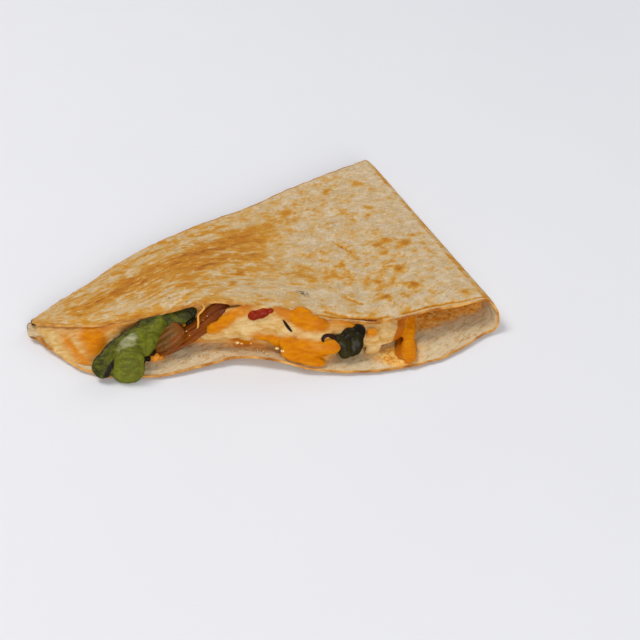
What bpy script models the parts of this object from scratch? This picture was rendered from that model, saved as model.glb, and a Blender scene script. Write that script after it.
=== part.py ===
"""A wedge of quesadilla: a flour tortilla folded once over melted cheese, peppers and onion, and cut to a triangle.

X runs along the front cut, from the tip at -X to the fold at +X. The open front cut faces -Y, the other cut
faces +Y, and the wedge lies on Z = 0. The model is laid out from the tip and centred at the end.
Along a layer, u runs from the front cut (0) to the back cut (1), and s from the tip (0) to the fold (1).
"""

from math import cos, pi, radians, sin
from typing import NamedTuple

import bmesh
import bpy
from mathutils import Vector

MM = 0.001

# Driving dimensions
TORTILLA_RADIUS = 127 * MM  # a ten-inch tortilla, folded in half: the reach from its fold to its rim
FOLD_LENGTH = 92 * MM
FOLD_ANGLE = radians(73.5)  # between the fold and the front cut
THICKNESS = 1.6 * MM
CLEARANCE = 0.35 * MM  # kept between pieces that touch
CUT_LENGTH = TORTILLA_RADIUS / sin(FOLD_ANGLE)


class Layer(NamedTuple):
    """One half of the folded tortilla, in millimetres. The rim that is left at the tip has a front and a back corner,
    and each cut starts its own way ahead along the fold. A bow is how far a cut bulges outwards of a straight one, from
    the tip (first value) to the fold (last value), at even steps."""

    tip_front: tuple
    tip_back: tuple
    ahead_front: float
    ahead_back: float
    front_bow: tuple
    back_bow: tuple


TOP = Layer(
    tip_front=(0, -1.3, 0),
    tip_back=(0, 1.3, 0),
    ahead_front=-2.0,
    ahead_back=0,
    front_bow=(0, 6.4, 7.6, 5.6, 8.0, 11.2, 10.4, 4.4, 0),
    back_bow=(0, 1.5, 4.6, 5.6, 4.6, 2.6, 2.6, 1.6, 0),
)
BOTTOM = Layer(
    tip_front=(0.2, -7.5, 0),
    tip_back=(-1.8, 0.9, 0),
    ahead_front=4.6,
    ahead_back=3.0,
    front_bow=(0, 12.4, 12.8, 9.4, 9.6, 13.6, 13.2, 8.4, 0),
    back_bow=(0, 1.0, 3.0, 4.4, 4.2, 2.4, 1.8, 1.0, 0),
)

# Heights along the cuts, in millimetres at the same steps
TOP_FRONT_HEIGHT = (5.0, 8.6, 12.2, 15.4, 15.2, 12.9, 10.8, 10.0, 9.0)  # of the top layer's upper face
TOP_BACK_HEIGHT = (5.0, 5.2, 5.6, 6.0, 6.3, 6.4, 6.5, 6.5, 6.6)
BOTTOM_FRONT_LIFT = (1.2, 0.3, 0.1, 0.6, 2.0, 0.5, 0.1, 0.1, 0.3)  # of the bottom layer's cut off the surface

HEIGHT_FALL = 1.35  # how soon the top layer sinks behind the propped-open front cut
SWELL = 1.2 * MM  # of the top layer over the filling, midway between the cuts
LIFT_REACH = 0.16  # share of u over which the bottom layer's lifted cut settles down
FOLD_REACH = 0.2  # share of s over which a layer's rows come to follow the fold

# The cheese: its recesses are how far it stays behind the cuts, in millimetres at the same steps
CHEESE_START, CHEESE_END = 0.08, 0.93  # the stretch of s that it fills
CHEESE_TOP_RECESS = (1.0, 1.0, 1.0, 1.0, 1.0, 1.0, 1.0, 5, 20)
CHEESE_BOTTOM_RECESS = (1.5, 7.0, 9.0, 7.5, 6.5, 7.5, 9.0, 22, 28)
CHEESE_BACK_RECESS = 0.8 * MM
LEAST_RECESS = 0.7 * MM
SPILLS = ((0.14, 0.05, 5.5), (0.60, 0.045, 6.8))  # where it runs out on the bottom layer: s, half width in s, reach
FACE_BULGE = 1.3 * MM

# A strip is a path through the open mouth, from its lower end to its upper one. Each place on it is
# (s, rise from the bottom layer to the top one, way out of the cheese's face, width, thickness), the last three in mm.
DRIP = (
    (0.852, 0.62, -2.0, 4.6, 2.6),
    (0.852, 0.70, 3.0, 4.6, 2.4),
    (0.850, 0.60, 7.0, 4.2, 2.2),
    (0.846, 0.40, 11.5, 4.4, 2.0),
    (0.840, 0.24, 15.6, 4.6, 1.8),
    (0.834, 0.18, 17.8, 3.0, 1.2),
)
FILLINGS = {
    "green_pepper": (
        (0.184, 0.28, 12.6, 9.0, 1.8),
        (0.187, 0.30, 11.4, 13.5, 3.6),
        (0.204, 0.36, 9.0, 11.8, 4.8),
        (0.224, 0.48, 6.0, 9.6, 4.8),
        (0.247, 0.64, 3.4, 8.0, 4.2),
        (0.274, 0.77, 2.0, 7.0, 3.6),
        (0.306, 0.86, 1.3, 5.2, 2.8),
        (0.345, 0.94, 0.8, 2.4, 1.8),
    ),
    "onion_petal": (
        (0.268, 0.32, 1.6, 3.0, 1.4),
        (0.278, 0.34, 1.8, 6.6, 2.4),
        (0.298, 0.37, 1.8, 8.0, 3.0),
        (0.318, 0.42, 1.6, 6.8, 2.6),
        (0.332, 0.46, 1.4, 3.0, 1.6),
    ),
    "onion_strip": (
        (0.262, 0.02, 3.4, 2.0, 1.2),
        (0.290, 0.05, 3.2, 3.6, 2.0),
        (0.330, 0.22, 1.6, 4.4, 2.2),
        (0.365, 0.45, 0.8, 4.8, 2.4),
        (0.400, 0.70, 0.4, 4.6, 2.4),
        (0.435, 0.92, 0.0, 3.0, 1.6),
    ),
    "dark_pepper": (
        (0.670, 0.08, 1.6, 3.4, 1.4),
        (0.674, 0.22, 2.0, 6.4, 2.4),
        (0.680, 0.50, 1.8, 7.4, 2.6),
        (0.686, 0.80, 1.2, 7.2, 2.4),
        (0.692, 0.97, 0.4, 4.6, 1.6),
    ),
    "red_pepper": (
        (0.472, 0.84, 0.6, 2.0, 1.8),
        (0.480, 0.85, 0.9, 3.2, 2.8),
        (0.500, 0.87, 0.9, 3.4, 2.8),
        (0.512, 0.88, 0.6, 2.0, 1.8),
    ),
}

# Colour and roughness
FINISHES = {
    "tortilla": ((0.62, 0.45, 0.26), 0.7),
    "cheese": ((0.83, 0.36, 0.04), 0.35),
    "green_pepper": ((0.17, 0.22, 0.03), 0.3),
    "onion_petal": ((0.27, 0.16, 0.05), 0.3),
    "onion_strip": ((0.3, 0.09, 0.01), 0.25),
    "dark_pepper": ((0.04, 0.05, 0.01), 0.35),
    "red_pepper": ((0.4, 0.05, 0.01), 0.3),
}

# Mesh divisions
ROWS = 16
LAYER_COLUMNS = 26
FOLD_COLUMNS = 8
CHEESE_COLUMNS = 44
CHEESE_ROWS = 9
FACE_STEPS = 4
RING = 12  # points round a strip

FOLD_ALONG = Vector((-cos(FOLD_ANGLE), sin(FOLD_ANGLE), 0))
FOLD_OUT = Vector((sin(FOLD_ANGLE), cos(FOLD_ANGLE), 0))
FOLD_FRONT = Vector((CUT_LENGTH, 0, 0))
FRONT_OUT = Vector((0, -1, 0))
MOUTH_OUT = Vector((-0.1, -0.8, 0.6)).normalized()  # the way that the open mouth faces
UP = Vector((0, 0, 1))
ROOM = THICKNESS / 2 + CLEARANCE  # from a layer's middle surface to what lies against it


def clear_scene():
    for obj in list(bpy.data.objects):
        bpy.data.objects.remove(obj)


def profile(values, s):
    """The value at s of a smooth curve through evenly spaced values in millimetres, in metres."""
    last = len(values) - 1
    x = min(max(s, 0.0), 1.0) * last
    i = min(int(x), last - 1)
    f = x - i
    a, b, c, d = (values[min(max(k, 0), last)] for k in (i - 1, i, i + 1, i + 2))
    curve = 2 * b + (c - a) * f + (2 * a - 5 * b + 4 * c - d) * f**2 + (3 * b - a - 3 * c + d) * f**3
    return MM * curve / 2


def ease(x):
    """0 to 1, smoothly, as x goes from 0 to 1."""
    x = min(max(x, 0.0), 1.0)
    return x * x * (3 - 2 * x)


# --- the tortilla's middle surface ---


def top_height(u, s):
    front = profile(TOP_FRONT_HEIGHT, s)
    back = profile(TOP_BACK_HEIGHT, s)
    swell = SWELL * sin(pi * u) * sin(pi * s)
    return back + (front - back) * (1 - u) ** HEIGHT_FALL + swell - THICKNESS / 2


def bottom_height(u, s):
    settle = max(0.0, 1 - u / LIFT_REACH) ** 2
    return THICKNESS / 2 + profile(BOTTOM_FRONT_LIFT, s) * settle


def fold_radius(u):
    return (top_height(u, 1) - bottom_height(u, 1)) / 2


def fold_edge(layer, u):
    """Where the layer turns into the fold, in plan."""
    ahead = MM * (layer.ahead_front + (layer.ahead_back - layer.ahead_front) * u)
    inset = fold_radius(u) + THICKNESS / 2
    return FOLD_FRONT + FOLD_ALONG * (FOLD_LENGTH * u - ahead) - FOLD_OUT * inset


def layer_point(layer, height, u, s):
    """A point of the layer's middle surface, between its two cuts."""
    tip_front = Vector(layer.tip_front) * MM
    tip_back = Vector(layer.tip_back) * MM
    fold_front = fold_edge(layer, 0)
    fold_back = fold_edge(layer, 1)
    back_out = UP.cross(fold_back - tip_back).normalized()
    front = tip_front.lerp(fold_front, s) + FRONT_OUT * profile(layer.front_bow, s)
    back = tip_back.lerp(fold_back, s) + back_out * profile(layer.back_bow, s)
    off_fold = fold_edge(layer, u) - fold_front.lerp(fold_back, u)
    return front.lerp(back, u) + off_fold * ease(1 - (1 - s) / FOLD_REACH) + UP * height


def top_point(u, s):
    return layer_point(TOP, top_height(u, s), u, s)


def bottom_point(u, s):
    return layer_point(BOTTOM, bottom_height(u, s), u, s)


def fold_point(u, turn):
    """A point of the half-round fold: turn runs from the top layer (0) to the bottom one (1)."""
    radius = fold_radius(u)
    middle = top_point(u, 1).lerp(bottom_point(u, 1), ease(turn))
    middle.z = (top_height(u, 1) + bottom_height(u, 1)) / 2
    return middle + FOLD_OUT * (radius * sin(pi * turn)) + UP * (radius * cos(pi * turn))


# --- meshes ---


def make_material(name):
    colour, roughness = FINISHES[name]
    material = bpy.data.materials.new(name)
    material.use_nodes = True
    shader = material.node_tree.nodes["Principled BSDF"]
    shader.inputs["Base Color"].default_value = (*colour, 1)
    shader.inputs["Roughness"].default_value = roughness
    return material


def add_object(name, points, faces, material):
    mesh = bpy.data.meshes.new(name)
    mesh.from_pydata(points, [], faces)
    shell = bmesh.new()
    shell.from_mesh(mesh)
    bmesh.ops.recalc_face_normals(shell, faces=shell.faces)
    shell.to_mesh(mesh)
    shell.free()
    mesh.shade_smooth()
    mesh.set_sharp_from_angle(angle=radians(50))
    mesh.materials.append(material)
    obj = bpy.data.objects.new(name, mesh)
    bpy.context.scene.collection.objects.link(obj)
    return obj


def grid_faces(rows, columns, closed=False):
    """The quads of a grid of points stored row by row. A closed grid joins its last column to its first."""
    faces = []
    for row in range(rows - 1):
        for column in range(columns if closed else columns - 1):
            following = (column + 1) % columns
            here, there = row * columns, (row + 1) * columns
            faces.append((here + column, here + following, there + following, there + column))
    return faces


def lofted(name, sections, material):
    """A closed solid through equal loops of points, capped at both ends."""
    size = len(sections[0])
    faces = grid_faces(len(sections), size, closed=True)
    faces.append(tuple(range(size)))
    faces.append(tuple(range((len(sections) - 1) * size, len(sections) * size)))
    return add_object(name, [point for section in sections for point in section], faces, material)


def cutter(obj):
    """Makes obj a helper, which shapes others and isn't part of the wedge."""
    obj.hide_render = True
    obj.display_type = "WIRE"
    return obj


def combine(obj, operation, tools):
    for tool in tools:
        change = obj.modifiers.new(tool.name, "BOOLEAN")
        change.operation = operation
        change.solver = "EXACT"
        change.object = tool


def tortilla_sheet(name, material, grow=0.0):
    """The folded tortilla as a middle surface with a Solidify modifier. grow makes it larger, its cuts included."""
    turns = [k / FOLD_COLUMNS for k in range(1, FOLD_COLUMNS)]
    steps = [k / LAYER_COLUMNS for k in range(LAYER_COLUMNS + 1)]
    points = []
    for row in range(ROWS + 1):
        u = row / ROWS
        past_cut = FRONT_OUT * {0: grow, ROWS: -grow}.get(row, 0.0)
        points += [top_point(u, s) + past_cut for s in steps]
        points += [fold_point(u, turn) + past_cut for turn in turns]
        points += [bottom_point(u, s) + past_cut for s in reversed(steps)]
    obj = add_object(name, points, grid_faces(ROWS + 1, len(points) // (ROWS + 1)), material)
    solidify = obj.modifiers.new("thickness", "SOLIDIFY")
    solidify.thickness = THICKNESS + 2 * grow
    solidify.offset = 0
    solidify.use_even_offset = True
    return obj


# --- the filling ---


def spill(s):
    """How much further forward the cheese runs on the bottom layer."""
    return sum(reach * MM * ease(1 - abs(s - middle) / (2 * half)) for middle, half, reach in SPILLS)


def row_length(s):
    return (top_point(1, s) - top_point(0, s)).length


def face_top(s):
    """Where the cheese's front face meets the top layer."""
    return top_point(profile(CHEESE_TOP_RECESS, s) / row_length(s), s) - UP * ROOM


def face_bottom(s):
    """Where the cheese's front face meets the bottom layer, away from any spill."""
    return bottom_point(profile(CHEESE_BOTTOM_RECESS, s) / row_length(s), s) + UP * ROOM


def mouth_point(s, rise, out):
    face = face_bottom(s).lerp(face_top(s), rise)
    return face + FRONT_OUT * (out * MM + FACE_BULGE * sin(pi * rise))


def cheese_section(s):
    """The loop round the cheese at s: under the top layer, down the back, along the bottom and up the front face."""
    length = row_length(s)
    top_first = profile(CHEESE_TOP_RECESS, s) / length
    bottom_first = max(profile(CHEESE_BOTTOM_RECESS, s) - spill(s), LEAST_RECESS) / length
    last = 1 - CHEESE_BACK_RECESS / length
    steps = [k / CHEESE_ROWS for k in range(CHEESE_ROWS + 1)]
    tops = [top_point(top_first + (last - top_first) * k, s) - UP * ROOM for k in steps]
    bottoms = [bottom_point(bottom_first + (last - bottom_first) * k, s) + UP * ROOM for k in steps]
    back = tops[-1].lerp(bottoms[-1], 0.5) - (tops[0] - tops[-1]).normalized() * CHEESE_BACK_RECESS
    face = []
    for k in range(1, FACE_STEPS):
        rise = k / FACE_STEPS
        face.append(bottoms[0].lerp(tops[0], rise) + FRONT_OUT * FACE_BULGE * sin(pi * rise))
    return tops + [back] + bottoms[::-1] + face


def make_cheese(material):
    span = CHEESE_END - CHEESE_START
    steps = [CHEESE_START + span * k / CHEESE_COLUMNS for k in range(CHEESE_COLUMNS + 1)]
    return lofted("cheese", [cheese_section(s) for s in steps], material)


def strip(name, path, material, grow=0.0):
    """A fleshy strip along the path, its broad side facing out of the mouth. grow makes it larger all round."""
    centres = [mouth_point(*place[:3]) for place in path]
    sections = []
    for k, (centre, place) in enumerate(zip(centres, path)):
        along = (centres[min(k + 1, len(path) - 1)] - centres[max(k - 1, 0)]).normalized()
        facing = (MOUTH_OUT - along * MOUTH_OUT.dot(along)).normalized()
        across = along.cross(facing)
        half_width, half_thickness = (size * MM / 2 + grow for size in place[3:])
        if k in (0, len(path) - 1):
            centre = centre + along * (grow if k else -grow)
        ring = []
        for j in range(RING):
            angle = 2 * pi * j / RING
            ring.append(centre + across * (half_width * cos(angle)) + facing * (half_thickness * sin(angle)))
        sections.append(ring)
    return lofted(name, sections, material)


def make_filling(tortilla_room):
    """Each piece is cut to clear the tortilla and the pieces made before it. The cheese takes what room is left."""
    rooms = [tortilla_room]
    for name, path in FILLINGS.items():
        material = make_material(name)
        combine(strip(name, path, material), "DIFFERENCE", rooms)
        rooms.append(cutter(strip(name + "_room", path, material, grow=CLEARANCE)))
    material = make_material("cheese")
    cheese = make_cheese(material)
    combine(cheese, "UNION", [cutter(strip("drip", DRIP, material))])
    combine(cheese, "DIFFERENCE", rooms[1:])


def centre_all():
    """Moves every object so that the origin is under the middle of the wedge's box."""
    bpy.context.view_layer.update()
    graph = bpy.context.evaluated_depsgraph_get()
    shown = [obj.evaluated_get(graph) for obj in bpy.data.objects if not obj.hide_render]
    corners = [Vector(corner) for obj in shown for corner in obj.bound_box]
    lowest, highest = (Vector(limit(c[axis] for c in corners) for axis in range(3)) for limit in (min, max))
    for obj in bpy.data.objects:
        obj.location = (-(lowest.x + highest.x) / 2, -(lowest.y + highest.y) / 2, -lowest.z)


def main():
    clear_scene()
    dough = make_material("tortilla")
    tortilla_sheet("tortilla", dough)
    make_filling(cutter(tortilla_sheet("tortilla_room", dough, grow=CLEARANCE)))
    centre_all()


main()
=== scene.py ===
"""The looks of the quesadilla wedge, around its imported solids.

Shapes are laid out as in the part's source: from the tip, with X along the front cut and the open mouth facing -Y.
Along a layer, u runs from the front cut (0) to the back cut (1), and s from the tip (0) to the fold (1). A place in
the open mouth is (s, rise from the bottom layer to the top one, way out of the cheese's face in mm).
"""

from math import atan, cos, pi, radians, sin, tan
from typing import NamedTuple

import bmesh
import bpy
import numpy as np
from mathutils import Matrix, Vector


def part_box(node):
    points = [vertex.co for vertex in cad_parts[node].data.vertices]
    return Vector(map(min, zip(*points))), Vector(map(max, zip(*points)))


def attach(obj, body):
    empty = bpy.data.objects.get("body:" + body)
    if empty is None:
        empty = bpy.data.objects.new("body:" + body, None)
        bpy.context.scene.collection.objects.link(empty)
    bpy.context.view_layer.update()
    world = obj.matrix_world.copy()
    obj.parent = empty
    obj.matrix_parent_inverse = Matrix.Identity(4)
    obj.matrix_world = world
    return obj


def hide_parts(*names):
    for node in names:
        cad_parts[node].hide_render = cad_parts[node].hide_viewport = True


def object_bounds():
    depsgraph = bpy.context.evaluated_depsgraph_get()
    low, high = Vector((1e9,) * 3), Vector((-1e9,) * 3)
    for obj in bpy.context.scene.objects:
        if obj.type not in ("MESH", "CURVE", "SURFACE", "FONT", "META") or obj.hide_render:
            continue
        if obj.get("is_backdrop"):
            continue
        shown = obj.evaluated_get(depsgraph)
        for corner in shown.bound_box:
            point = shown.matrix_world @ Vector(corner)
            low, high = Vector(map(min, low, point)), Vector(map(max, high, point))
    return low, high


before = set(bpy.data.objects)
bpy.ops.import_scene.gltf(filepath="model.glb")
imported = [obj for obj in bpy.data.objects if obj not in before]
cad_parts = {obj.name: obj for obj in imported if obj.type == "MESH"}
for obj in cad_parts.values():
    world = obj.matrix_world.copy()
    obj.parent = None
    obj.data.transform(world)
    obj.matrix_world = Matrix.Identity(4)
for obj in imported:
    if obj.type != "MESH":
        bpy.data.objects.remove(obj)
CAD_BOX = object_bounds()

MM = 0.001

# --- the wedge's shape, as in the part's source ---

FOLD_LENGTH = 92 * MM
FOLD_ANGLE = radians(73.5)
THICKNESS = 1.6 * MM
CUT_LENGTH = 127 * MM / sin(FOLD_ANGLE)


class Layer(NamedTuple):
    tip_front: tuple
    tip_back: tuple
    ahead_front: float
    ahead_back: float
    front_bow: tuple
    back_bow: tuple


TOP = Layer(
    tip_front=(0, -1.3, 0),
    tip_back=(0, 1.3, 0),
    ahead_front=-2.0,
    ahead_back=0,
    front_bow=(0, 6.4, 7.6, 5.6, 8.0, 11.2, 10.4, 4.4, 0),
    back_bow=(0, 1.5, 4.6, 5.6, 4.6, 2.6, 2.6, 1.6, 0),
)
BOTTOM = Layer(
    tip_front=(0.2, -7.5, 0),
    tip_back=(-1.8, 0.9, 0),
    ahead_front=4.6,
    ahead_back=3.0,
    front_bow=(0, 12.4, 12.8, 9.4, 9.6, 13.6, 13.2, 8.4, 0),
    back_bow=(0, 1.0, 3.0, 4.4, 4.2, 2.4, 1.8, 1.0, 0),
)
TOP_FRONT_HEIGHT = (5.0, 8.6, 12.2, 15.4, 15.2, 12.9, 10.8, 10.0, 9.0)
TOP_BACK_HEIGHT = (5.0, 5.2, 5.6, 6.0, 6.3, 6.4, 6.5, 6.5, 6.6)
BOTTOM_FRONT_LIFT = (1.2, 0.3, 0.1, 0.6, 2.0, 0.5, 0.1, 0.1, 0.3)
HEIGHT_FALL = 1.35
SWELL = 1.2 * MM
LIFT_REACH = 0.16
FOLD_REACH = 0.2
CHEESE_START, CHEESE_END = 0.012, 0.93
CHEESE_TOP_RECESS = (1.0, 1.0, 1.0, 1.0, 1.0, 1.0, 1.0, 5, 20)
CHEESE_BOTTOM_RECESS = (1.5, 7.0, 9.0, 7.5, 6.5, 7.5, 9.0, 22, 28)
CHEESE_BACK_RECESS = 0.8 * MM
LEAST_RECESS = 0.7 * MM
SPILLS = ((0.06, 0.04, 2.5), (0.14, 0.05, 5.5), (0.60, 0.045, 6.8))
FACE_BULGE = 1.3 * MM
ROOM = THICKNESS / 2 + 0.35 * MM
STICK = THICKNESS / 2 - 0.25 * MM  # the cheese's surface here, from a layer's middle: it sticks to the tortilla

FOLD_ALONG = np.array((-cos(FOLD_ANGLE), sin(FOLD_ANGLE), 0))
FOLD_OUT = np.array((sin(FOLD_ANGLE), cos(FOLD_ANGLE), 0))
FOLD_FRONT = np.array((CUT_LENGTH, 0, 0))
FRONT_OUT = np.array((0, -1.0, 0))
MOUTH_OUT = np.array((-0.1, -0.8, 0.6)) / np.linalg.norm((-0.1, -0.8, 0.6))
UP = np.array((0, 0, 1.0))

# The tortilla's lowest corner in plan, measured from the layout's origin
LAYOUT_LOWEST = np.array((-1.80, -20.71)) * MM
TORTILLA_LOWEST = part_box("tortilla")[0]
SHIFT = np.array((*(np.array(TORTILLA_LOWEST.xy) - LAYOUT_LOWEST), 0))


def curve(values, t):
    """The values at t of a smooth curve through evenly spaced values, where t runs from 0 to 1."""
    values = np.asarray(values, float)
    last = len(values) - 1
    x = np.clip(t, 0, 1) * last
    i = np.minimum(x.astype(int), last - 1)
    f = x - i
    a, b, c, d = (values[np.clip(i + k, 0, last)] for k in (-1, 0, 1, 2))
    return (2 * b + (c - a) * f + (2 * a - 5 * b + 4 * c - d) * f**2 + (3 * b - a - 3 * c + d) * f**3) / 2


def profile(values, s):
    return MM * curve(values, np.asarray(s, float))


def ease(x):
    x = np.clip(x, 0, 1)
    return x * x * (3 - 2 * x)


def unit(vectors):
    return vectors / np.linalg.norm(vectors, axis=-1, keepdims=True)


def top_height(u, s):
    front = profile(TOP_FRONT_HEIGHT, s)
    back = profile(TOP_BACK_HEIGHT, s)
    return back + (front - back) * (1 - u) ** HEIGHT_FALL + SWELL * np.sin(pi * u) * np.sin(pi * s) - THICKNESS / 2


def bottom_height(u, s):
    return THICKNESS / 2 + profile(BOTTOM_FRONT_LIFT, s) * np.maximum(0, 1 - u / LIFT_REACH) ** 2


def fold_radius(u):
    return (top_height(u, np.ones_like(u)) - bottom_height(u, np.ones_like(u))) / 2


def fold_edge(layer, u):
    ahead = MM * (layer.ahead_front + (layer.ahead_back - layer.ahead_front) * u)
    inset = fold_radius(u) + THICKNESS / 2
    return FOLD_FRONT + FOLD_ALONG * (FOLD_LENGTH * u - ahead)[..., None] - FOLD_OUT * inset[..., None]


def back_out(layer):
    """The way that a layer's back cut faces."""
    along = fold_edge(layer, np.array(1.0)) - np.array(layer.tip_back) * MM
    return unit(np.cross(UP, along))


def layer_point(layer, height, u, s):
    u, s = np.broadcast_arrays(np.asarray(u, float), np.asarray(s, float))
    tip_front = np.array(layer.tip_front) * MM
    tip_back = np.array(layer.tip_back) * MM
    fold_front = fold_edge(layer, np.array(0.0))
    fold_back = fold_edge(layer, np.array(1.0))
    along = s[..., None]
    across = u[..., None]
    front = tip_front + (fold_front - tip_front) * along + FRONT_OUT * profile(layer.front_bow, s)[..., None]
    back = tip_back + (fold_back - tip_back) * along + back_out(layer) * profile(layer.back_bow, s)[..., None]
    off_fold = fold_edge(layer, u) - (fold_front + (fold_back - fold_front) * across)
    level = np.broadcast_to(height, u.shape)[..., None]
    return front + (back - front) * across + off_fold * ease(1 - (1 - along) / FOLD_REACH) + UP * level


def top_point(u, s):
    u, s = np.broadcast_arrays(np.asarray(u, float), np.asarray(s, float))
    return layer_point(TOP, top_height(u, s), u, s)


def bottom_point(u, s):
    u, s = np.broadcast_arrays(np.asarray(u, float), np.asarray(s, float))
    return layer_point(BOTTOM, bottom_height(u, s), u, s)


def fold_point(u, turn):
    u, turn = np.broadcast_arrays(np.asarray(u, float), np.asarray(turn, float))
    one = np.ones_like(u)
    radius = fold_radius(u)[..., None]
    start, end = top_point(u, one), bottom_point(u, one)
    middle = start + (end - start) * ease(turn)[..., None]
    middle[..., 2] = (start[..., 2] + end[..., 2]) / 2
    angle = (pi * turn)[..., None]
    return middle + FOLD_OUT * radius * np.sin(angle) + UP * radius * np.cos(angle)


def row_length(s):
    return np.linalg.norm(top_point(1, s) - top_point(0, s), axis=-1)


def spill(s):
    return sum(reach * MM * ease(1 - abs(s - middle) / (2 * half)) for middle, half, reach in SPILLS)


def mouth_point(s, rise, out=0.0):
    """A place in the open mouth. s and rise may be arrays."""
    s = np.asarray(s, float)
    rise = np.asarray(rise, float)
    low = bottom_point(profile(CHEESE_BOTTOM_RECESS, s) / row_length(s), s) + UP * ROOM
    high = top_point(profile(CHEESE_TOP_RECESS, s) / row_length(s), s) - UP * ROOM
    forward = np.asarray(out) * MM + FACE_BULGE * np.sin(pi * rise)
    left = (0.65 + 0.4 * np.exp(-(((s - 0.40) / 0.16) ** 2))) * ease((0.72 - s) / 0.12) * ease((s - 0.32) / 0.08)
    lift = MM * (0.2 + left) * ease((rise - 0.5) / 0.45) * ease(s / 0.15)
    return low + (high - low) * rise[..., None] + FRONT_OUT * forward[..., None] + UP * lift[..., None]


def mouth_frame(s, rise):
    """The unit vectors along the mouth towards the fold, up its face, and out of it."""
    step = 0.004
    along = unit(mouth_point(s + step, rise) - mouth_point(s - step, rise))
    up = mouth_point(s, 0.95) - mouth_point(s, 0.05)
    up = unit(up - along * np.dot(up, along))
    return along, up, np.cross(along, up)


# --- noise ---


def noise(points, size, seed=0):
    """Smooth noise at the points, about -1 to 1. size is the width of a lump: one number, or one for each axis."""
    cells = np.asarray(points) / np.asarray(size) + 31.7 * seed
    corner = np.floor(cells).astype(np.int64)
    part = cells - corner
    fade = part**3 * (part * (part * 6 - 15) + 10)
    total = np.zeros(part.shape[:-1])
    for step in np.ndindex(2, 2, 2):
        at = corner + step
        mixed = (at[..., 0] * 73856093) ^ (at[..., 1] * 19349663) ^ (at[..., 2] * 83492791) ^ (seed * 2654435)
        mixed = ((mixed ^ (mixed >> 13)) * 1274126177) & 0x7FFFFFFF
        mixed = ((mixed ^ (mixed >> 11)) * 668265263) & 0x7FFFFFFF
        slope = np.stack([(mixed >> shift) & 1023 for shift in (0, 10, 20)], axis=-1) / 511.5 - 1
        weight = np.prod(np.where(step, fade, 1 - fade), axis=-1)
        total += weight * (slope * (part - step)).sum(axis=-1)
    return 1.6 * total


def rough(points, size, seed=0, octaves=3):
    """Noise with finer noise on it."""
    scales = [2.0**-k for k in range(octaves)]
    return sum(scale * noise(points, np.asarray(size) * scale, seed + k) for k, scale in enumerate(scales))


# --- making meshes and materials ---


def srgb(red, green, blue):
    """A colour given as screen values from 0 to 255, as the shaders take it."""
    shares = [value / 255 for value in (red, green, blue)]
    return (*(c / 12.92 if c < 0.04045 else ((c + 0.055) / 1.055) ** 2.4 for c in shares), 1)


def grid_faces(ids, closed=False):
    """The quads of a 2-D array of vertex numbers. A closed grid joins its last column to its first."""
    here = ids if closed else ids[:, :-1]
    following = np.roll(ids, -1, axis=1) if closed else ids[:, 1:]
    quads = np.stack([here[:-1], following[:-1], following[1:], here[1:]], axis=-1)
    return quads.reshape(-1, 4).tolist()


def plain_mesh(name, points, faces, marks=()):
    """A mesh facing out, from points in the layout. marks holds a number, or a vector, for each point."""
    mesh = bpy.data.meshes.new(name)
    mesh.from_pydata((np.asarray(points) + SHIFT).tolist(), [], faces)
    shell = bmesh.new()
    shell.from_mesh(mesh)
    bmesh.ops.recalc_face_normals(shell, faces=shell.faces)
    shell.to_mesh(mesh)
    shell.free()
    for mark, values in dict(marks).items():
        add_mark(mesh, mark, values)
    return mesh


def add_mark(mesh, name, values):
    values = np.asarray(values, np.float32)
    kind, field = ("FLOAT", "value") if values.ndim == 1 else ("FLOAT_VECTOR", "vector")
    mesh.attributes.new(name, kind, "POINT").data.foreach_set(field, values.ravel())


def add_piece(name, mesh, material, slot, replaced=(), sharp=70):
    mesh.shade_smooth()
    mesh.set_sharp_from_angle(angle=radians(sharp))
    mesh.materials.append(material)
    piece = bpy.data.objects.new(name, mesh)
    bpy.context.scene.collection.objects.link(piece)
    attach(piece, "root")
    for node_name in replaced:
        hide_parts(node_name)
    return piece


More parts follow.
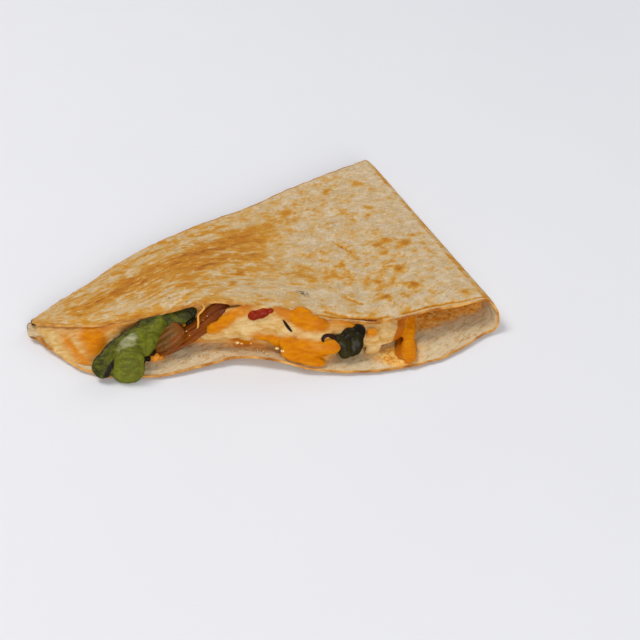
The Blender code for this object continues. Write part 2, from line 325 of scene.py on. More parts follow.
class Nodes:
    """A material's node tree, with a short call for each kind of node that is used here."""

    def __init__(self, name, **shader_values):
        self.material = bpy.data.materials.new(name)
        self.material.use_nodes = True
        self.tree = self.material.node_tree
        self.shader = self.tree.nodes["Principled BSDF"]
        self.place = self.tree.nodes.new("ShaderNodeTexCoord").outputs["Object"]
        self.shader.inputs["Specular IOR Level"].default_value = 0.25
        for socket, value in shader_values.items():
            self.shader.inputs[socket.replace("_", " ")].default_value = value

    def add(self, kind, inputs, **settings):
        made = self.tree.nodes.new("ShaderNode" + kind)
        for setting, value in settings.items():
            setattr(made, setting, value)
        for key, value in inputs.items():
            if isinstance(value, bpy.types.NodeSocket):
                self.tree.links.new(value, made.inputs[key])
            else:
                made.inputs[key].default_value = value
        return made

    def mark(self, name, output="Fac"):
        return self.add("Attribute", {}, attribute_name=name).outputs[output]

    def maths(self, operation, *values, clamp=False):
        inputs = dict(enumerate(values))
        return self.add("Math", inputs, operation=operation, use_clamp=clamp).outputs[0]

    def noise(self, size, detail=4.0, roughness=0.55, where=None, distortion=0.0):
        """Noise from 0 to 1, with lumps about size metres across."""
        inputs = {
            "Vector": where or self.place,
            "Scale": 1 / size,
            "Detail": detail,
            "Roughness": roughness,
            "Distortion": distortion,
        }
        return self.add("TexNoise", inputs).outputs["Fac"]

    def stretched(self, vector, sizes):
        """The vector divided by a size for each axis, so that noise of size 1 has lumps of those sizes."""
        scale = tuple(1 / size for size in sizes)
        return self.add("VectorMath", {0: vector, 1: scale}, operation="MULTIPLY").outputs[0]

    def between(self, value, low, high):
        """0 where the value is under low, 1 over high, and smooth between."""
        inputs = {"Value": value, "From Min": low, "From Max": high}
        return self.add("MapRange", inputs, interpolation_type="SMOOTHSTEP").outputs["Result"]

    def mix(self, factor, first, second, blend="MIX"):
        made = self.add("Mix", {}, data_type="RGBA", blend_type=blend)
        for index, value in ((0, factor), (6, first), (7, second)):
            if isinstance(value, bpy.types.NodeSocket):
                self.tree.links.new(value, made.inputs[index])
            else:
                made.inputs[index].default_value = value
        return made.outputs[2]

    def ramp(self, factor, stops):
        """A colour that runs through (position, colour) stops."""
        made = self.add("ValToRGB", {"Fac": factor})
        elements = made.color_ramp.elements
        while len(elements) < len(stops):
            elements.new(1.0)
        for element, (position, colour) in zip(elements, stops):
            element.position = position
            element.color = colour
        return made.outputs["Color"]

    def bump(self, height, distance, strength=1.0, below=None):
        inputs = {"Height": height, "Distance": distance, "Strength": strength}
        if below:
            inputs["Normal"] = below
        return self.add("Bump", inputs).outputs["Normal"]

    def finish(self, colour, roughness, normal):
        for socket, value in (("Base Color", colour), ("Roughness", roughness), ("Normal", normal)):
            if isinstance(value, bpy.types.NodeSocket):
                self.tree.links.new(value, self.shader.inputs[socket])
            else:
                self.shader.inputs[socket].default_value = value
        return self.material


# --- the tortilla ---

# Toasted spots on top: place in plan, radius (mm) and strength. A spot with a hollow is a ring.
TOP_SPOTS = (
    (98.5, 71.0, 2.2, 0.75),
    (104.5, 66.5, 1.3, 0.5),
    (100.9, 53.8, 1.2, 0.9),
    (96.0, 50.2, 1.3, 0.6),
    (88.0, 65.0, 1.6, 0.6),
    (91.0, 59.5, 0.9, 0.7),
    (74.0, 50.5, 1.4, 0.6),
    (103.0, 33.5, 1.9, 0.8),
    (100.5, 30.0, 1.6, 0.6),
    (109.5, 32.0, 2.3, 0.9),
    (112.5, 37.0, 1.2, 0.6),
    (101.5, 25.5, 1.4, 0.6),
    (105.0, 17.0, 2.0, 0.9),
    (96.0, 19.0, 1.0, 0.7),
    (88.0, 17.5, 1.6, 0.5),
    (98.0, 9.5, 1.3, 0.6),
    (108.0, 7.5, 1.9, 0.7),
    (99.5, 0.6, 1.8, 1.0),
    (119.5, 17.5, 1.3, 0.6),
    (123.0, 4.6, 1.3, 0.7),
    (113.5, 3.5, 1.4, 0.6),
    (58.0, 10.5, 1.2, 1.1),
    (56.0, 3.5, 1.4, 0.7),
    (14.5, -2.0, 1.3, 0.8),
    (63.0, 22.5, 1.2, 0.7),
)

# Broad toasting on top: place in plan, half length, half width (mm), direction in degrees, and strength
TOP_PATCHES = (
    (26, 8, 12, 3.2, 24, 0.30),
    (30, 16, 13, 2.6, 40, 0.32),
    (46, 26, 15, 4.2, 39, 0.38),
    (52, 18, 14, 4.2, 24, 0.34),
    (63, 39, 13, 4.2, 40, 0.30),
    (62, 31, 9, 4.6, 20, 0.24),
    (14, 2, 7, 3.0, 15, 0.16),
    (40, 6, 12, 3.0, 12, 0.12),
    (73, 13, 12, 4.0, -4, 0.14),
    (84, 12, 9, 4.0, -8, 0.10),
    (104, 28, 9, 7.0, 10, 0.10),
    (101, 10, 12, 7.0, 0, 0.08),
    (76, 52, 8, 4.0, 30, 0.12),
    (60, -2, 9, 3.0, 0, -0.22),
    (76, 0, 12, 4.0, 0, -0.14),
    (30, -2, 12, 2.6, 8, -0.14),
    (84, 34, 9, 6.0, 20, -0.08),
    (100, 80, 9, 6.0, 40, -0.10),
    (112, 52, 10, 5.0, 100, -0.08),
)

# Scorched places on top: place in plan, half length, half width (mm), direction and strength
TOP_SCORCHES = (
    (75.5, 0.6, 3.8, 2.2, -20, 1.0),
    (67.5, 4.4, 3.6, 1.4, 5, 0.7),
    (56.0, 4.5, 4.5, 1.6, 10, 0.8),
    (43.5, -4.6, 2.4, 0.7, 10, 0.9),
    (38.5, -2.4, 1.8, 0.7, 15, 0.9),
    (61.5, 21.5, 4.4, 1.6, 20, 0.7),
)

# Creases on top: two ends in plan (mm), depth (mm) and how brown it is
TOP_CREASES = (
    ((87.6, 31.8), (92.0, 25.8), 0.35, 1.0),
    ((99.6, 50.6), (104.0, 44.2), 0.28, 0.45),
    ((80.9, -8.2), (88.0, -9.8), 0.35, 0.9),
    ((88.0, -9.8), (97.0, -9.6), 0.35, 0.9),
    ((87.0, 0.4), (91.8, -2.8), 0.22, 0.9),
    ((94.0, 47.0), (97.5, 40.0), 0.16, 0.2),
    ((30.0, 13.0), (44.0, 22.0), 0.16, 0.2),
    ((36.0, 2.0), (50.0, 5.5), 0.16, 0.2),
)

LEAST_SPOTTY, MOST_SPOTTY = 0.48, 0.74  # the stretch of s over which streaks give way to round spots


def spots(x, y, table):
    total = np.zeros_like(x)
    for middle_x, middle_y, radius, strength in table:
        far = np.hypot(x - middle_x * MM, y - middle_y * MM) / (radius * MM)
        total = np.maximum(total, strength * np.exp(-(far**2.4)))
    return total


def patches(x, y, table):
    total = np.zeros_like(x)
    for middle_x, middle_y, length, width, degrees, strength in table:
        turn = radians(degrees)
        right, ahead = x - middle_x * MM, y - middle_y * MM
        along = (right * cos(turn) + ahead * sin(turn)) / (length * MM)
        across = (ahead * cos(turn) - right * sin(turn)) / (width * MM)
        total += strength * np.exp(-(along**2 + across**2) ** 1.3)
    return total


def creases(x, y, table, width):
    """How deep the creases are at each place, in mm, and how brown."""
    depth = np.zeros_like(x)
    brown = np.zeros_like(x)
    for start, end, deep, darkening in table:
        start, end = np.array(start) * MM, np.array(end) * MM
        run = end - start
        share = ((x - start[0]) * run[0] + (y - start[1]) * run[1]) / (run @ run)
        near = np.clip(share, 0, 1)
        far = np.hypot(x - start[0] - run[0] * near, y - start[1] - run[1] * near)
        line = np.exp(-((far / width) ** 2))
        depth = np.maximum(depth, deep * line)
        brown = np.maximum(brown, darkening * line)
    return depth, brown


def random_spots(seed, count, low, high, reach):
    """Spots over the wedge's plan, larger and stronger ones fewer."""
    random = np.random.default_rng(seed)
    made = []
    for _ in range(count):
        u = random.uniform(0.03, 0.97)
        s = random.uniform(*reach) ** 0.6
        size = random.random() ** 2
        x, y, _ = top_point(u, s) / MM
        made.append((x, y, low + (high - low) * size, 0.35 + 0.4 * random.random()))
    return made


class Sheet(NamedTuple):
    """One face of the folded tortilla, as a grid of rows (along u) and columns (round the fold)."""

    middle: np.ndarray  # the layer's middle surface
    normal: np.ndarray  # outwards
    u: np.ndarray
    s: np.ndarray
    turn: np.ndarray  # 0 on the top layer, 1 on the bottom one
    flat: np.ndarray  # where the place lies on the unfolded tortilla


def sheet(rows, columns, fold_columns):
    steps = np.linspace(0, 1, columns)
    turns = np.linspace(0, 1, fold_columns + 2)[1:-1]
    s = np.concatenate([steps, np.ones(fold_columns), steps[::-1]])
    turn = np.concatenate([np.zeros(columns), turns, np.ones(columns)])
    u = rows[:, None] * np.ones_like(s)
    fold = fold_point(rows[:, None], turns[None, :])
    middle = np.concatenate([top_point(rows[:, None], steps), fold, bottom_point(rows[:, None], steps[::-1])], axis=1)
    normal = unit(np.cross(np.gradient(middle, axis=1), np.gradient(middle, axis=0)))
    s, turn = np.broadcast_arrays(s, u)[0], turn * np.ones_like(u)
    along = np.where(turn > 0.5, 2 - s, s) * CUT_LENGTH + turn * 12 * MM
    across = (u - 0.5) * FOLD_LENGTH * (0.35 + 0.65 * s)
    return Sheet(middle, normal, u, s, turn, np.stack([along, across, turn * 40 * MM], axis=-1))


def to_cut(face):
    """How far each place is from the front cut and from the back cut."""
    width = row_length(face.s)
    return face.u * width, (1 - face.u) * width


def shared_relief(face):
    """How far both faces of the tortilla move outwards together."""
    plan = face.middle.copy()
    front, back = to_cut(face)
    inner = ease(front / (9 * MM)) * ease(back / (9 * MM)) * ease(face.s / 0.2) * ease((1 - face.s) / 0.12)
    on_top = face.turn == 0
    lumps = 0.42 * noise(plan, 15 * MM, 3) + 0.24 * noise(plan, 6 * MM, 4)
    streak = noise(face.flat, (11 * MM, 2.3 * MM, 1), 5) * ease((0.72 - face.s) / 0.2) * ease(face.s / 0.1)
    dent, _ = creases(plan[..., 0], plan[..., 1], TOP_CREASES, 0.55 * MM)
    ripple = 0.14 * noise(face.flat, (5 * MM, 9 * MM, 1), 6) * ease(1 - front / (12 * MM))
    droop = 0.85 * np.exp(-((front / (3.2 * MM)) ** 2)) * ease(face.s / 0.12) * ease((1 - face.s) / 0.06)
    droop *= 1 - 0.5 * np.exp(-(((face.s - 0.42) / 0.12) ** 2))
    tip = 1.15 * ease(1 - face.s / 0.09)
    curled = -1.1 * ease(1 - face.s / 0.055) * (face.turn == 1)  # the bottom layer's tip lifts off the ground
    return MM * on_top * (inner * lumps + 0.15 * streak - dent + ripple - droop - tip) + MM * curled


def ply_line(face):
    """How near each place is to the line where the top layer's two plies part, along its front cut."""
    front, _ = to_cut(face)
    wander = 0.25 * noise(face.flat, (6 * MM, 50 * MM, 1), 7)
    line = np.exp(-(((front / MM - 1.3 - wander) / 0.36) ** 2))
    here = ease((face.s - 0.60) / 0.03) * (1 - 0.85 * np.exp(-(((face.s - 0.79) / 0.012) ** 2)))
    return line * here * (face.turn == 0)


def thinning(face):
    """The share of the thickness that is left towards the cuts and the tip."""
    front, back = to_cut(face)
    near = np.exp(-np.minimum(front, back) / (2.0 * MM)) * (0.9 + 0.25 * noise(face.flat, 6 * MM, 8))
    return 1 - 0.66 * near


def outer_relief(face):
    x, y = face.middle[..., 0], face.middle[..., 1]
    fine = 0.1 * rough(face.flat, 1.7 * MM, 11) + 0.08 * noise(face.flat, (5 * MM, 1.4 * MM, 1), 12)
    blister = 0.16 * spots(x, y, TOP_SPOTS) + 0.1 * spots(x, y, MORE_SPOTS) - 0.22 * ply_line(face)
    under = -0.22 * abs(noise(face.flat, 5 * MM, 14)) - 0.05 * abs(noise(face.flat, 1.6 * MM, 15))
    return MM * np.where(face.turn > 0.75, under, fine + blister * (face.turn == 0))


def inner_relief(face):
    front, _ = to_cut(face)
    pleats = 0.16 * noise(face.flat, (1.3 * MM, 9 * MM, 1), 21) * np.exp(-((face.turn - 0.6) ** 2) / 0.1)
    lumps = 0.26 * rough(face.flat, (3.0 * MM, 2.2 * MM, 1), 22)
    return MM * (lumps + pleats * ease(1.3 - front / (9 * MM)))


# How far the bottom layer's front cut runs out past its smooth line, at even steps from the tip to the fold, in mm
BOTTOM_CUT_SHIFT = (-1.4, -1.8, -1.0, 0.5, 1.8, 2.0, 1.0, -0.2, 1.1, 1.4, 1.0, 1.0, 1.2, 1.3, 1.4, 0.4, -1.5)

# How far the fold runs out by the front cut, at even steps round it from the top layer to the bottom layer, in mm
FOLD_SLANT = (0.0, 1.7, 1.6, 1.0, 0.2, -0.5, 0.0)


def cut_jag(s, turn, seed):
    """How far a cut runs outwards of its smooth line."""
    line = np.stack([s * CUT_LENGTH + turn * 14 * MM, turn * 50 * MM, np.zeros_like(s)], axis=-1)
    return MM * (0.28 * noise(line, 5 * MM, seed) + 0.2 * rough(line, 1.4 * MM, seed + 1))


def over_filling(s):
    """Where the top layer's front edge hangs over the pepper and the cheese, from 0 to 1."""
    return ease((s - 0.22) / 0.08) * ease((0.60 - s) / 0.10)


def jagged(face, points):
    """The points, with those by a cut moved so that the cut is uneven, and the tip's corners rounded."""
    front, back = to_cut(face)
    torn = 1.1 * MM * np.exp(-(((face.s - 0.572) / 0.012) ** 2)) * (face.turn == 0)
    on_front = (cut_jag(face.s, face.turn, 31) - torn) * ease(1 - front / (2.4 * MM))
    shift = profile(BOTTOM_CUT_SHIFT, face.s) * ease(face.turn)
    shift = shift + 0.8 * MM * over_filling(face.s) * ease(1 - face.turn / 0.3)
    on_front += shift * ease(1 - front / (7 * MM))
    on_back = cut_jag(face.s, face.turn, 37) * ease(1 - back / (2.4 * MM))
    corner = 2.2 * np.maximum(0, 1 - face.u / 0.35) ** 2 + 0.9 * np.maximum(0, face.u / 0.35 - 1.86) ** 2
    rounding = MM * corner * ease(1 - face.s / 0.03) * np.where(face.turn > 0.5, 1.0, 0.4)
    slant = MM * profile(FOLD_SLANT, face.turn) * ease(1.1 - front / (22 * MM))
    points = points + FRONT_OUT * on_front[..., None] + back_out(TOP) * on_back[..., None]
    points = points + FOLD_OUT * slant[..., None]
    return points + np.array((1.0, 0, 0)) * rounding[..., None]


def tip_char(face):
    """How charred the tip is: at the rim of the top layer's, and behind on the bottom layer's."""
    front, back = to_cut(face)
    end = face.s * CUT_LENGTH / MM
    rim = np.minimum(end, np.minimum(front, back) / MM + 0.35 * end)
    wander = 1 + 0.8 * noise(face.flat, 1.4 * MM, 45)
    behind = np.where(face.turn > 0.5, ease((face.u - 0.35) / 0.3), 1.0)
    return 1.4 * np.exp(-((rim / (0.36 * wander + 0.16)) ** 2)) * ease(1 - (end - 1.0) / 3.5) * behind


def tortilla_marks(face, inside):
    """What the material reads at each point: how toasted, scorched and oily it is, and whether streaks are round."""
    x, y = face.middle[..., 0], face.middle[..., 1]
    front, back = to_cut(face)
    on_top = (face.turn == 0) & (not inside)
    _, brown = creases(x, y, TOP_CREASES, 0.45 * MM)
    outside_top = 0.27 + patches(x, y, TOP_PATCHES) + 0.6 * spots(x, y, TOP_SPOTS) + 0.25 * spots(x, y, MORE_SPOTS)
    outside_top += 0.6 * brown + 0.75 * ply_line(face)
    outside_top += 0.35 * np.exp(-front / (1.2 * MM)) * ease((0.5 - face.s) / 0.1)
    outside_top -= 0.1 * ease((face.s - 0.8) / 0.2)
    under = 0.42 + 0.5 * spots(x, y, UNDER_SPOTS) + 0.16 * noise(face.flat, 22 * MM, 41)
    toast = np.where(face.turn == 0, outside_top, under) if not inside else np.full_like(x, 0.1)
    scorch = patches(x, y, TOP_SCORCHES) * on_top + tip_char(face)
    oil = np.zeros_like(x)
    if inside:
        pocket = ease((face.s - 0.84) / 0.09) * ease((front - 1.2 * MM) / (4 * MM)) * ease(1.15 - 2.1 * face.turn)
        shore = (7.5 - 3.5 * (1 - face.turn)) * MM
        beside = ease((face.s - 0.80) / 0.05) * ease((front - shore) / (6 * MM))
        oil = np.maximum(pocket, beside) + 0.12 * noise(face.flat, 4 * MM, 43)
        under_cheese = ease((front - 6 * MM) / (4 * MM)) * (face.turn == 1) * (face.s < 0.8)
        oil = np.maximum(oil, 0.5 * under_cheese)
        oil = np.maximum(oil, 0.5 * patches(x, y, OILY_PLACES) * (face.turn == 1))
        oil = np.maximum(oil, 0.75 * (face.turn == 0) * ease((front - 0.6 * MM) / (2 * MM)) * (face.s < 0.86))
    spotty = ease((face.s - LEAST_SPOTTY) / (MOST_SPOTTY - LEAST_SPOTTY)) if not inside else np.full_like(x, 0.6)
    spotty = np.where(face.turn > 0, 1.0, spotty)
    edge = np.exp(-np.minimum(front, back) / (0.45 * MM)) * (1.0 if inside else 0.95)
    rim = 0.5 * np.exp(-face.s * CUT_LENGTH / (1.2 * MM))
    return {
        "toast": toast,
        "scorch": scorch,
        "oil": oil,
        "spotty": spotty,
        "edge": np.maximum(edge, rim),
        "inside": np.full_like(x, float(inside)),
    }


# Oily places on the bottom layer's inner face: place in plan, half length, half width (mm), direction, strength
OILY_PLACES = (
    (99, -14.5, 6, 3.6, 0, 1.3),
    (60, -10.0, 9, 2.2, -12, 1.2),
    (33, -13.5, 6, 2.4, 0, 1.0),
    (76, -14.5, 9, 4.0, 0, 1.0),
    (88, -11.0, 6, 3.0, 0, 0.8),
    (13, -8.0, 7, 4.0, -30, 0.7),
    (104, -11.0, 5, 4.0, 0, 1.1),
    (103, -16.0, 5, 3.0, 0, 0.9),
)

MORE_SPOTS = random_spots(5, 170, 0.6, 1.9, (0.02, 1.0))
UNDER_SPOTS = random_spots(6, 130, 1.0, 3.6, (0.02, 1.0))

OUTER_ROWS = 128
INNER_ROWS = 58
COLUMNS = 196
FOLD_COLUMNS = 22
CUT_STEPS = 6  # points across a cut, between its outer and inner edges


def cut_strip(outer, inner, way_out, s, turn, seed):
    """The points across a cut, where the crumb splits in places into two plies."""
    line = np.stack([s * CUT_LENGTH + turn * 14 * MM, turn * 50 * MM, np.zeros_like(s)], axis=-1)
    split = MM * np.clip(0.35 + 0.9 * noise(line, 11 * MM, seed), 0, 0.8) * (0.35 + 0.65 * ease((s - 0.3) / 0.3))
    strips = []
    for k in range(1, CUT_STEPS + 1):
        share = k / (CUT_STEPS + 1)
        swell = 0.14 * MM * sin(pi * share) + 0.07 * MM * noise(line, 1.1 * MM, seed + k)
        groove = split * np.exp(-(((share - 0.5) / 0.17) ** 2))
        strips.append(outer + (inner - outer) * share + way_out * (swell - groove)[:, None])
    return np.array(strips)


def make_tortilla(material):
    rows = np.linspace(0, 1, OUTER_ROWS)
    outside = sheet(rows * (0.45 + 0.55 * rows), COLUMNS, FOLD_COLUMNS)
    inside = sheet(np.linspace(0, 1, INNER_ROWS) ** 2.0, COLUMNS, FOLD_COLUMNS)
    grids = []
    marks = []
    for face, sign, relief in ((outside, 1, outer_relief), (inside, -1, inner_relief)):
        thin = thinning(face)
        kept = THICKNESS / 2 * (1 - thin) * ease(1 - face.turn / 0.3)  # thinned from below only, on top
        level = shared_relief(face) + kept + sign * THICKNESS / 2 * thin + relief(face) * thin
        grids.append(jagged(face, face.middle + face.normal * level[..., None]))
        grids[-1][..., 2] = np.maximum(grids[-1][..., 2], 0)
        marks.append(tortilla_marks(face, inside=sign < 0))
    outer, inner = grids
    s, turn = outside.s[0], outside.turn[0]
    front = cut_strip(outer[0], inner[0], FRONT_OUT, s, turn, 51)
    back = cut_strip(outer[-1], inner[-1], back_out(TOP), s, turn, 61)
    front[..., 2] = np.maximum(front[..., 2], 0)
    back[..., 2] = np.maximum(back[..., 2], 0)
    blocks = [outer, inner, front, back]
    starts = np.cumsum([0] + [block.shape[0] * block.shape[1] for block in blocks])
    ids = [start + np.arange(block[..., 0].size).reshape(block.shape[:2]) for start, block in zip(starts, blocks)]
    across_front = np.concatenate([ids[0][:1], ids[2], ids[1][:1]])
    across_back = np.concatenate([ids[0][-1:], ids[3], ids[1][-1:]])
    faces = [face for grid in (ids[0], ids[1], across_front, across_back) for face in grid_faces(grid)]
    for column in (0, -1):
        rim = [*ids[0][:, column], *ids[3][:, column], *ids[1][::-1, column], *ids[2][::-1, column]]
        faces.append([int(vertex) for vertex in rim])
    joined = {}
    for mark in marks[0]:
        strip_values = {"edge": 1.0, "oil": 0.15, "spotty": 1.0, "inside": 0.0}
        values = [marks[0][mark].ravel(), marks[1][mark].ravel()]
        for block, row in ((front, 0), (back, -1)):
            value = np.tile(marks[0][mark][row], CUT_STEPS)
            values.append(np.full_like(value, strip_values[mark]) if mark in strip_values else value)
        joined[mark] = np.concatenate(values)
    flats = [outside.flat, inside.flat, np.tile(outside.flat[0], (CUT_STEPS, 1)), np.tile(outside.flat[-1], (CUT_STEPS, 1))]
    joined["flat"] = np.concatenate([flat.reshape(-1, 3) for flat in flats])
    points = np.concatenate([block.reshape(-1, 3) for block in blocks])
    mesh = plain_mesh("tortilla_sheet", points, faces, joined)
    return add_piece("tortilla_sheet", mesh, material, "tortilla", ["tortilla"])


def tortilla_material():
    n = Nodes("toasted_tortilla", IOR=1.4, Subsurface_Weight=0.03, Subsurface_Radius=(0.003, 0.0015, 0.0008))
    n.shader.inputs["Specular IOR Level"].default_value = 0.3
    toast, scorch, oil, spotty, edge, inside = map(n.mark, ("toast", "scorch", "oil", "spotty", "edge", "inside"))
    flat = n.mark("flat", "Vector")
    grain = n.noise(0.0005, 3, 0.75)
    cloud = n.noise(0.0032, 4, 0.65)
    dough = n.mix(n.between(cloud, 0.3, 0.7), srgb(202, 172, 128), srgb(222, 200, 166))
    pores = n.between(n.noise(1.0, 3, 0.65, n.stretched(flat, (0.0010, 0.0007, 1)), 0.5), 0.54, 0.68)
    dough = n.mix(n.maths("MULTIPLY", pores, 0.45), dough, srgb(138, 112, 74))
    flour = n.between(n.noise(1.0, 3, 0.7, n.stretched(flat, (0.0024, 0.0015, 1)), 0.5), 0.52, 0.68)
    dough = n.mix(n.maths("MULTIPLY", flour, 0.5), dough, srgb(226, 211, 186))

    streaks = n.noise(1.0, 2, 0.55, n.stretched(flat, (0.0090, 0.0036, 1)), 1.0)
    dabs = n.noise(1.0, 3, 0.55, n.stretched(flat, (0.0034, 0.0020, 1)), 0.6)
    rounds = n.noise(1.0, 3, 0.6, n.stretched(flat, (0.0044, 0.0034, 1)), 0.4)
    small_rounds = n.noise(1.0, 3, 0.6, n.stretched(flat, (0.0017, 0.0013, 1)), 0.3)
    streaky = n.maths("MULTIPLY_ADD", streaks, 1.1, n.maths("MULTIPLY_ADD", dabs, 0.8, 0.25))
    blotchy = n.maths("ADD", n.maths("MULTIPLY", rounds, 1.5), n.maths("MULTIPLY", small_rounds, 0.9))
    pattern = n.add("Mix", {0: spotty, 2: streaky, 3: blotchy}).outputs[0]
    heat = n.maths("ADD", n.maths("SUBTRACT", pattern, 1.2), n.maths("MULTIPLY_ADD", grain, 0.24, toast))
    heat = n.maths("SUBTRACT", heat, n.maths("MULTIPLY_ADD", spotty, 0.18, -0.06))
    mottle = n.between(n.noise(1.0, 3, 0.6, n.stretched(flat, (0.0030, 0.0022, 1)), 0.5), 0.50, 0.64)
    mottle = n.maths("MULTIPLY", mottle, n.maths("SUBTRACT", 1.0, spotty))
    heat = n.maths("MULTIPLY_ADD", mottle, -0.3, heat)
    toasted = n.ramp(
        n.maths("MULTIPLY", heat, 0.7),
        (
            (0.06, srgb(216, 186, 128)),
            (0.22, srgb(212, 166, 80)),
            (0.40, srgb(206, 144, 42)),
            (0.60, srgb(192, 120, 20)),
            (0.82, srgb(150, 80, 12)),
            (1.0, srgb(96, 46, 10)),
        ),
    )
    least = n.maths("MULTIPLY_ADD", spotty, -0.26, 0.26)
    colour = n.mix(n.maths("MAXIMUM", n.between(heat, 0.06, 0.60), least), dough, toasted)

    wrinkle = n.noise(1.0, 3, 0.55, n.stretched(flat, (0.0052, 0.0020, 1)), 0.7)
    crease = n.maths("SUBTRACT", 1.0, n.between(n.maths("ABSOLUTE", n.maths("SUBTRACT", wrinkle, 0.5)), 0.0, 0.035))
    colour = n.mix(n.maths("MULTIPLY", crease, 0.35), colour, srgb(158, 124, 72))

    specks = n.noise(0.0006, 3, 0.75, n.stretched(flat, (1.6, 0.75, 1)))
    burnt = n.maths("MULTIPLY_ADD", specks, 1.5, n.maths("MULTIPLY_ADD", scorch, 0.75, -1.15))
    colour = n.mix(n.between(burnt, 0.1, 0.55), colour, srgb(104, 82, 56))

    crumb = n.mix(n.noise(0.0022, 4, 0.65), srgb(204, 174, 126), srgb(230, 212, 178))
    lines = n.noise(1.0, 4, 0.6, n.stretched(flat, (0.004, 0.0011, 1)))
    crumb = n.mix(n.between(lines, 0.5, 0.7), crumb, srgb(190, 148, 92))
    flecks = n.between(n.noise(0.001, 4, 0.7), 0.58, 0.68)
    crumb = n.mix(n.maths("MULTIPLY", flecks, 0.5), crumb, srgb(158, 116, 66))
    colour = n.mix(inside, colour, crumb)

    soaked = n.maths("MULTIPLY_ADD", n.noise(0.002, 4, 0.65), 0.9, n.maths("SUBTRACT", oil, 0.45))
    oily = n.mix(n.between(n.noise(0.0018, 4, 0.65), 0.35, 0.65), srgb(240, 156, 34), srgb(254, 210, 118))
    fried = n.between(n.noise(0.0012, 3, 0.65), 0.53, 0.62)
    oily = n.mix(n.maths("MULTIPLY", fried, 0.55), oily, srgb(164, 88, 12))
    colour = n.mix(n.between(soaked, 0.05, 0.8), colour, oily)

    golden = n.mix(n.between(n.noise(0.005, 4, 0.6), 0.3, 0.7), srgb(170, 100, 24), srgb(230, 176, 96))
    rim = n.maths("MULTIPLY_ADD", n.noise(0.006, 4, 0.6), 0.8, n.maths("SUBTRACT", edge, 0.5))
    colour = n.mix(n.between(rim, 0.2, 0.65), colour, golden)
    black = n.maths("MULTIPLY_ADD", specks, 0.8, n.maths("SUBTRACT", scorch, 1.1))
    colour = n.mix(n.between(black, 0.15, 0.6), colour, srgb(40, 22, 10))

    wet = n.between(soaked, 0.3, 0.9)
    roughness = n.maths("MULTIPLY_ADD", wet, -0.34, n.maths("MULTIPLY_ADD", grain, 0.16, 0.64))
    height = n.maths("ADD", n.maths("MULTIPLY", grain, 0.8), n.maths("MULTIPLY", wrinkle, 0.8))
    return n.finish(colour, roughness, n.bump(height, 0.0005, 0.8))


# --- lobes: soft shapes melted together ---


class Lobe(NamedTuple):
    """An ellipsoid in the mouth: its middle, its full sizes along the mouth, up it and out of it (mm), its turn about
    the way out (degrees), what the material reads there, and how far it leans back onto the bottom layer (degrees)."""

    s: float
    rise: float
    out: float
    size: tuple
    turn: float = 0.0
    tint: object = 0.0
    lean: float = 0.0


class Limb(NamedTuple):
    """An ellipsoid from one place in the mouth to another, each (s, rise, out), with its width and thickness in mm."""

    start: tuple
    end: tuple
    width: float
    thick: float
    tint: object = 0.0


def lobe_matrix(lobe):
    """The half axes of a lobe or a limb, as columns, and its middle."""
    if isinstance(lobe, Limb):
        start, end = mouth_point(*lobe.start), mouth_point(*lobe.end)
        along = unit(end - start)
        facing = unit(MOUTH_OUT - along * (along @ MOUTH_OUT))
        halves = (np.linalg.norm(end - start) / 2, lobe.width * MM / 2, lobe.thick * MM / 2)
        return np.stack([along, np.cross(facing, along), facing], axis=1) * np.array(halves), (start + end) / 2
    along, up, out = mouth_frame(lobe.s, lobe.rise)
    turn = radians(lobe.turn)
    lean = radians(lobe.lean)
    right = along * cos(turn) + up * sin(turn)
    ahead = up * cos(turn) - along * sin(turn)
    facing = out * cos(lean) + ahead * sin(lean)
    ahead = ahead * cos(lean) - out * sin(lean)
    axes = np.stack([right, ahead, facing], axis=1) * (np.array(lobe.size) / 2 * MM)
    return axes, mouth_point(lobe.s, lobe.rise, lobe.out)


def ball(level):
    """The points and faces of a round ball."""
    shell = bmesh.new()
    bmesh.ops.create_icosphere(shell, subdivisions=level, radius=1)
    points = np.array([vertex.co for vertex in shell.verts])
    faces = [[vertex.index for vertex in face.verts] for face in shell.faces]
    shell.free()
    return points, faces


def lobe_parts(lobes, level=4):
    points, faces = ball(level)
    for lobe in lobes:
        axes, middle = lobe_matrix(lobe)
        yield points @ axes.T + middle, faces


def joined(parts):
    """Several (points, faces) as one."""
    points = []
    faces = []
    count = 0
    for part_points, part_faces in parts:
        faces += [[vertex + count for vertex in face] for face in part_faces]
        points.append(part_points)
        count += len(part_points)
    return np.concatenate(points), faces


def melted(name, parts, voxel, smoothing=3):
    """One closed mesh round all the parts."""
    mesh = plain_mesh(name, *joined(parts))
    obj = bpy.data.objects.new(name, mesh)
    bpy.context.scene.collection.objects.link(obj)
    remesh = obj.modifiers.new("remesh", "REMESH")
    remesh.mode = "VOXEL"
    remesh.voxel_size = voxel
    smooth = obj.modifiers.new("smooth", "SMOOTH")
    smooth.iterations = smoothing
    smooth.factor = 0.5
    return baked(obj)


def baked(obj):
    """The object's mesh with its modifiers applied. The object is removed."""
    graph = bpy.context.evaluated_depsgraph_get()
    result = bpy.data.meshes.new_from_object(obj.evaluated_get(graph))
    bpy.data.objects.remove(obj)
    return result


def mesh_points(mesh):
    points = np.empty(len(mesh.vertices) * 3)
    mesh.vertices.foreach_get("co", points)
    return points.reshape(-1, 3) - SHIFT


def mesh_normals(mesh):
    normals = np.empty(len(mesh.vertices) * 3)
    mesh.vertex_normals.foreach_get("vector", normals)
    return normals.reshape(-1, 3)


def move_points(mesh, points):
    """Gives the mesh these points, with none of them under the floor."""
    points = points.copy()
    points[:, 2] = np.maximum(points[:, 2], 0.06 * MM)
    mesh.vertices.foreach_set("co", (points + SHIFT).ravel())
    mesh.update()


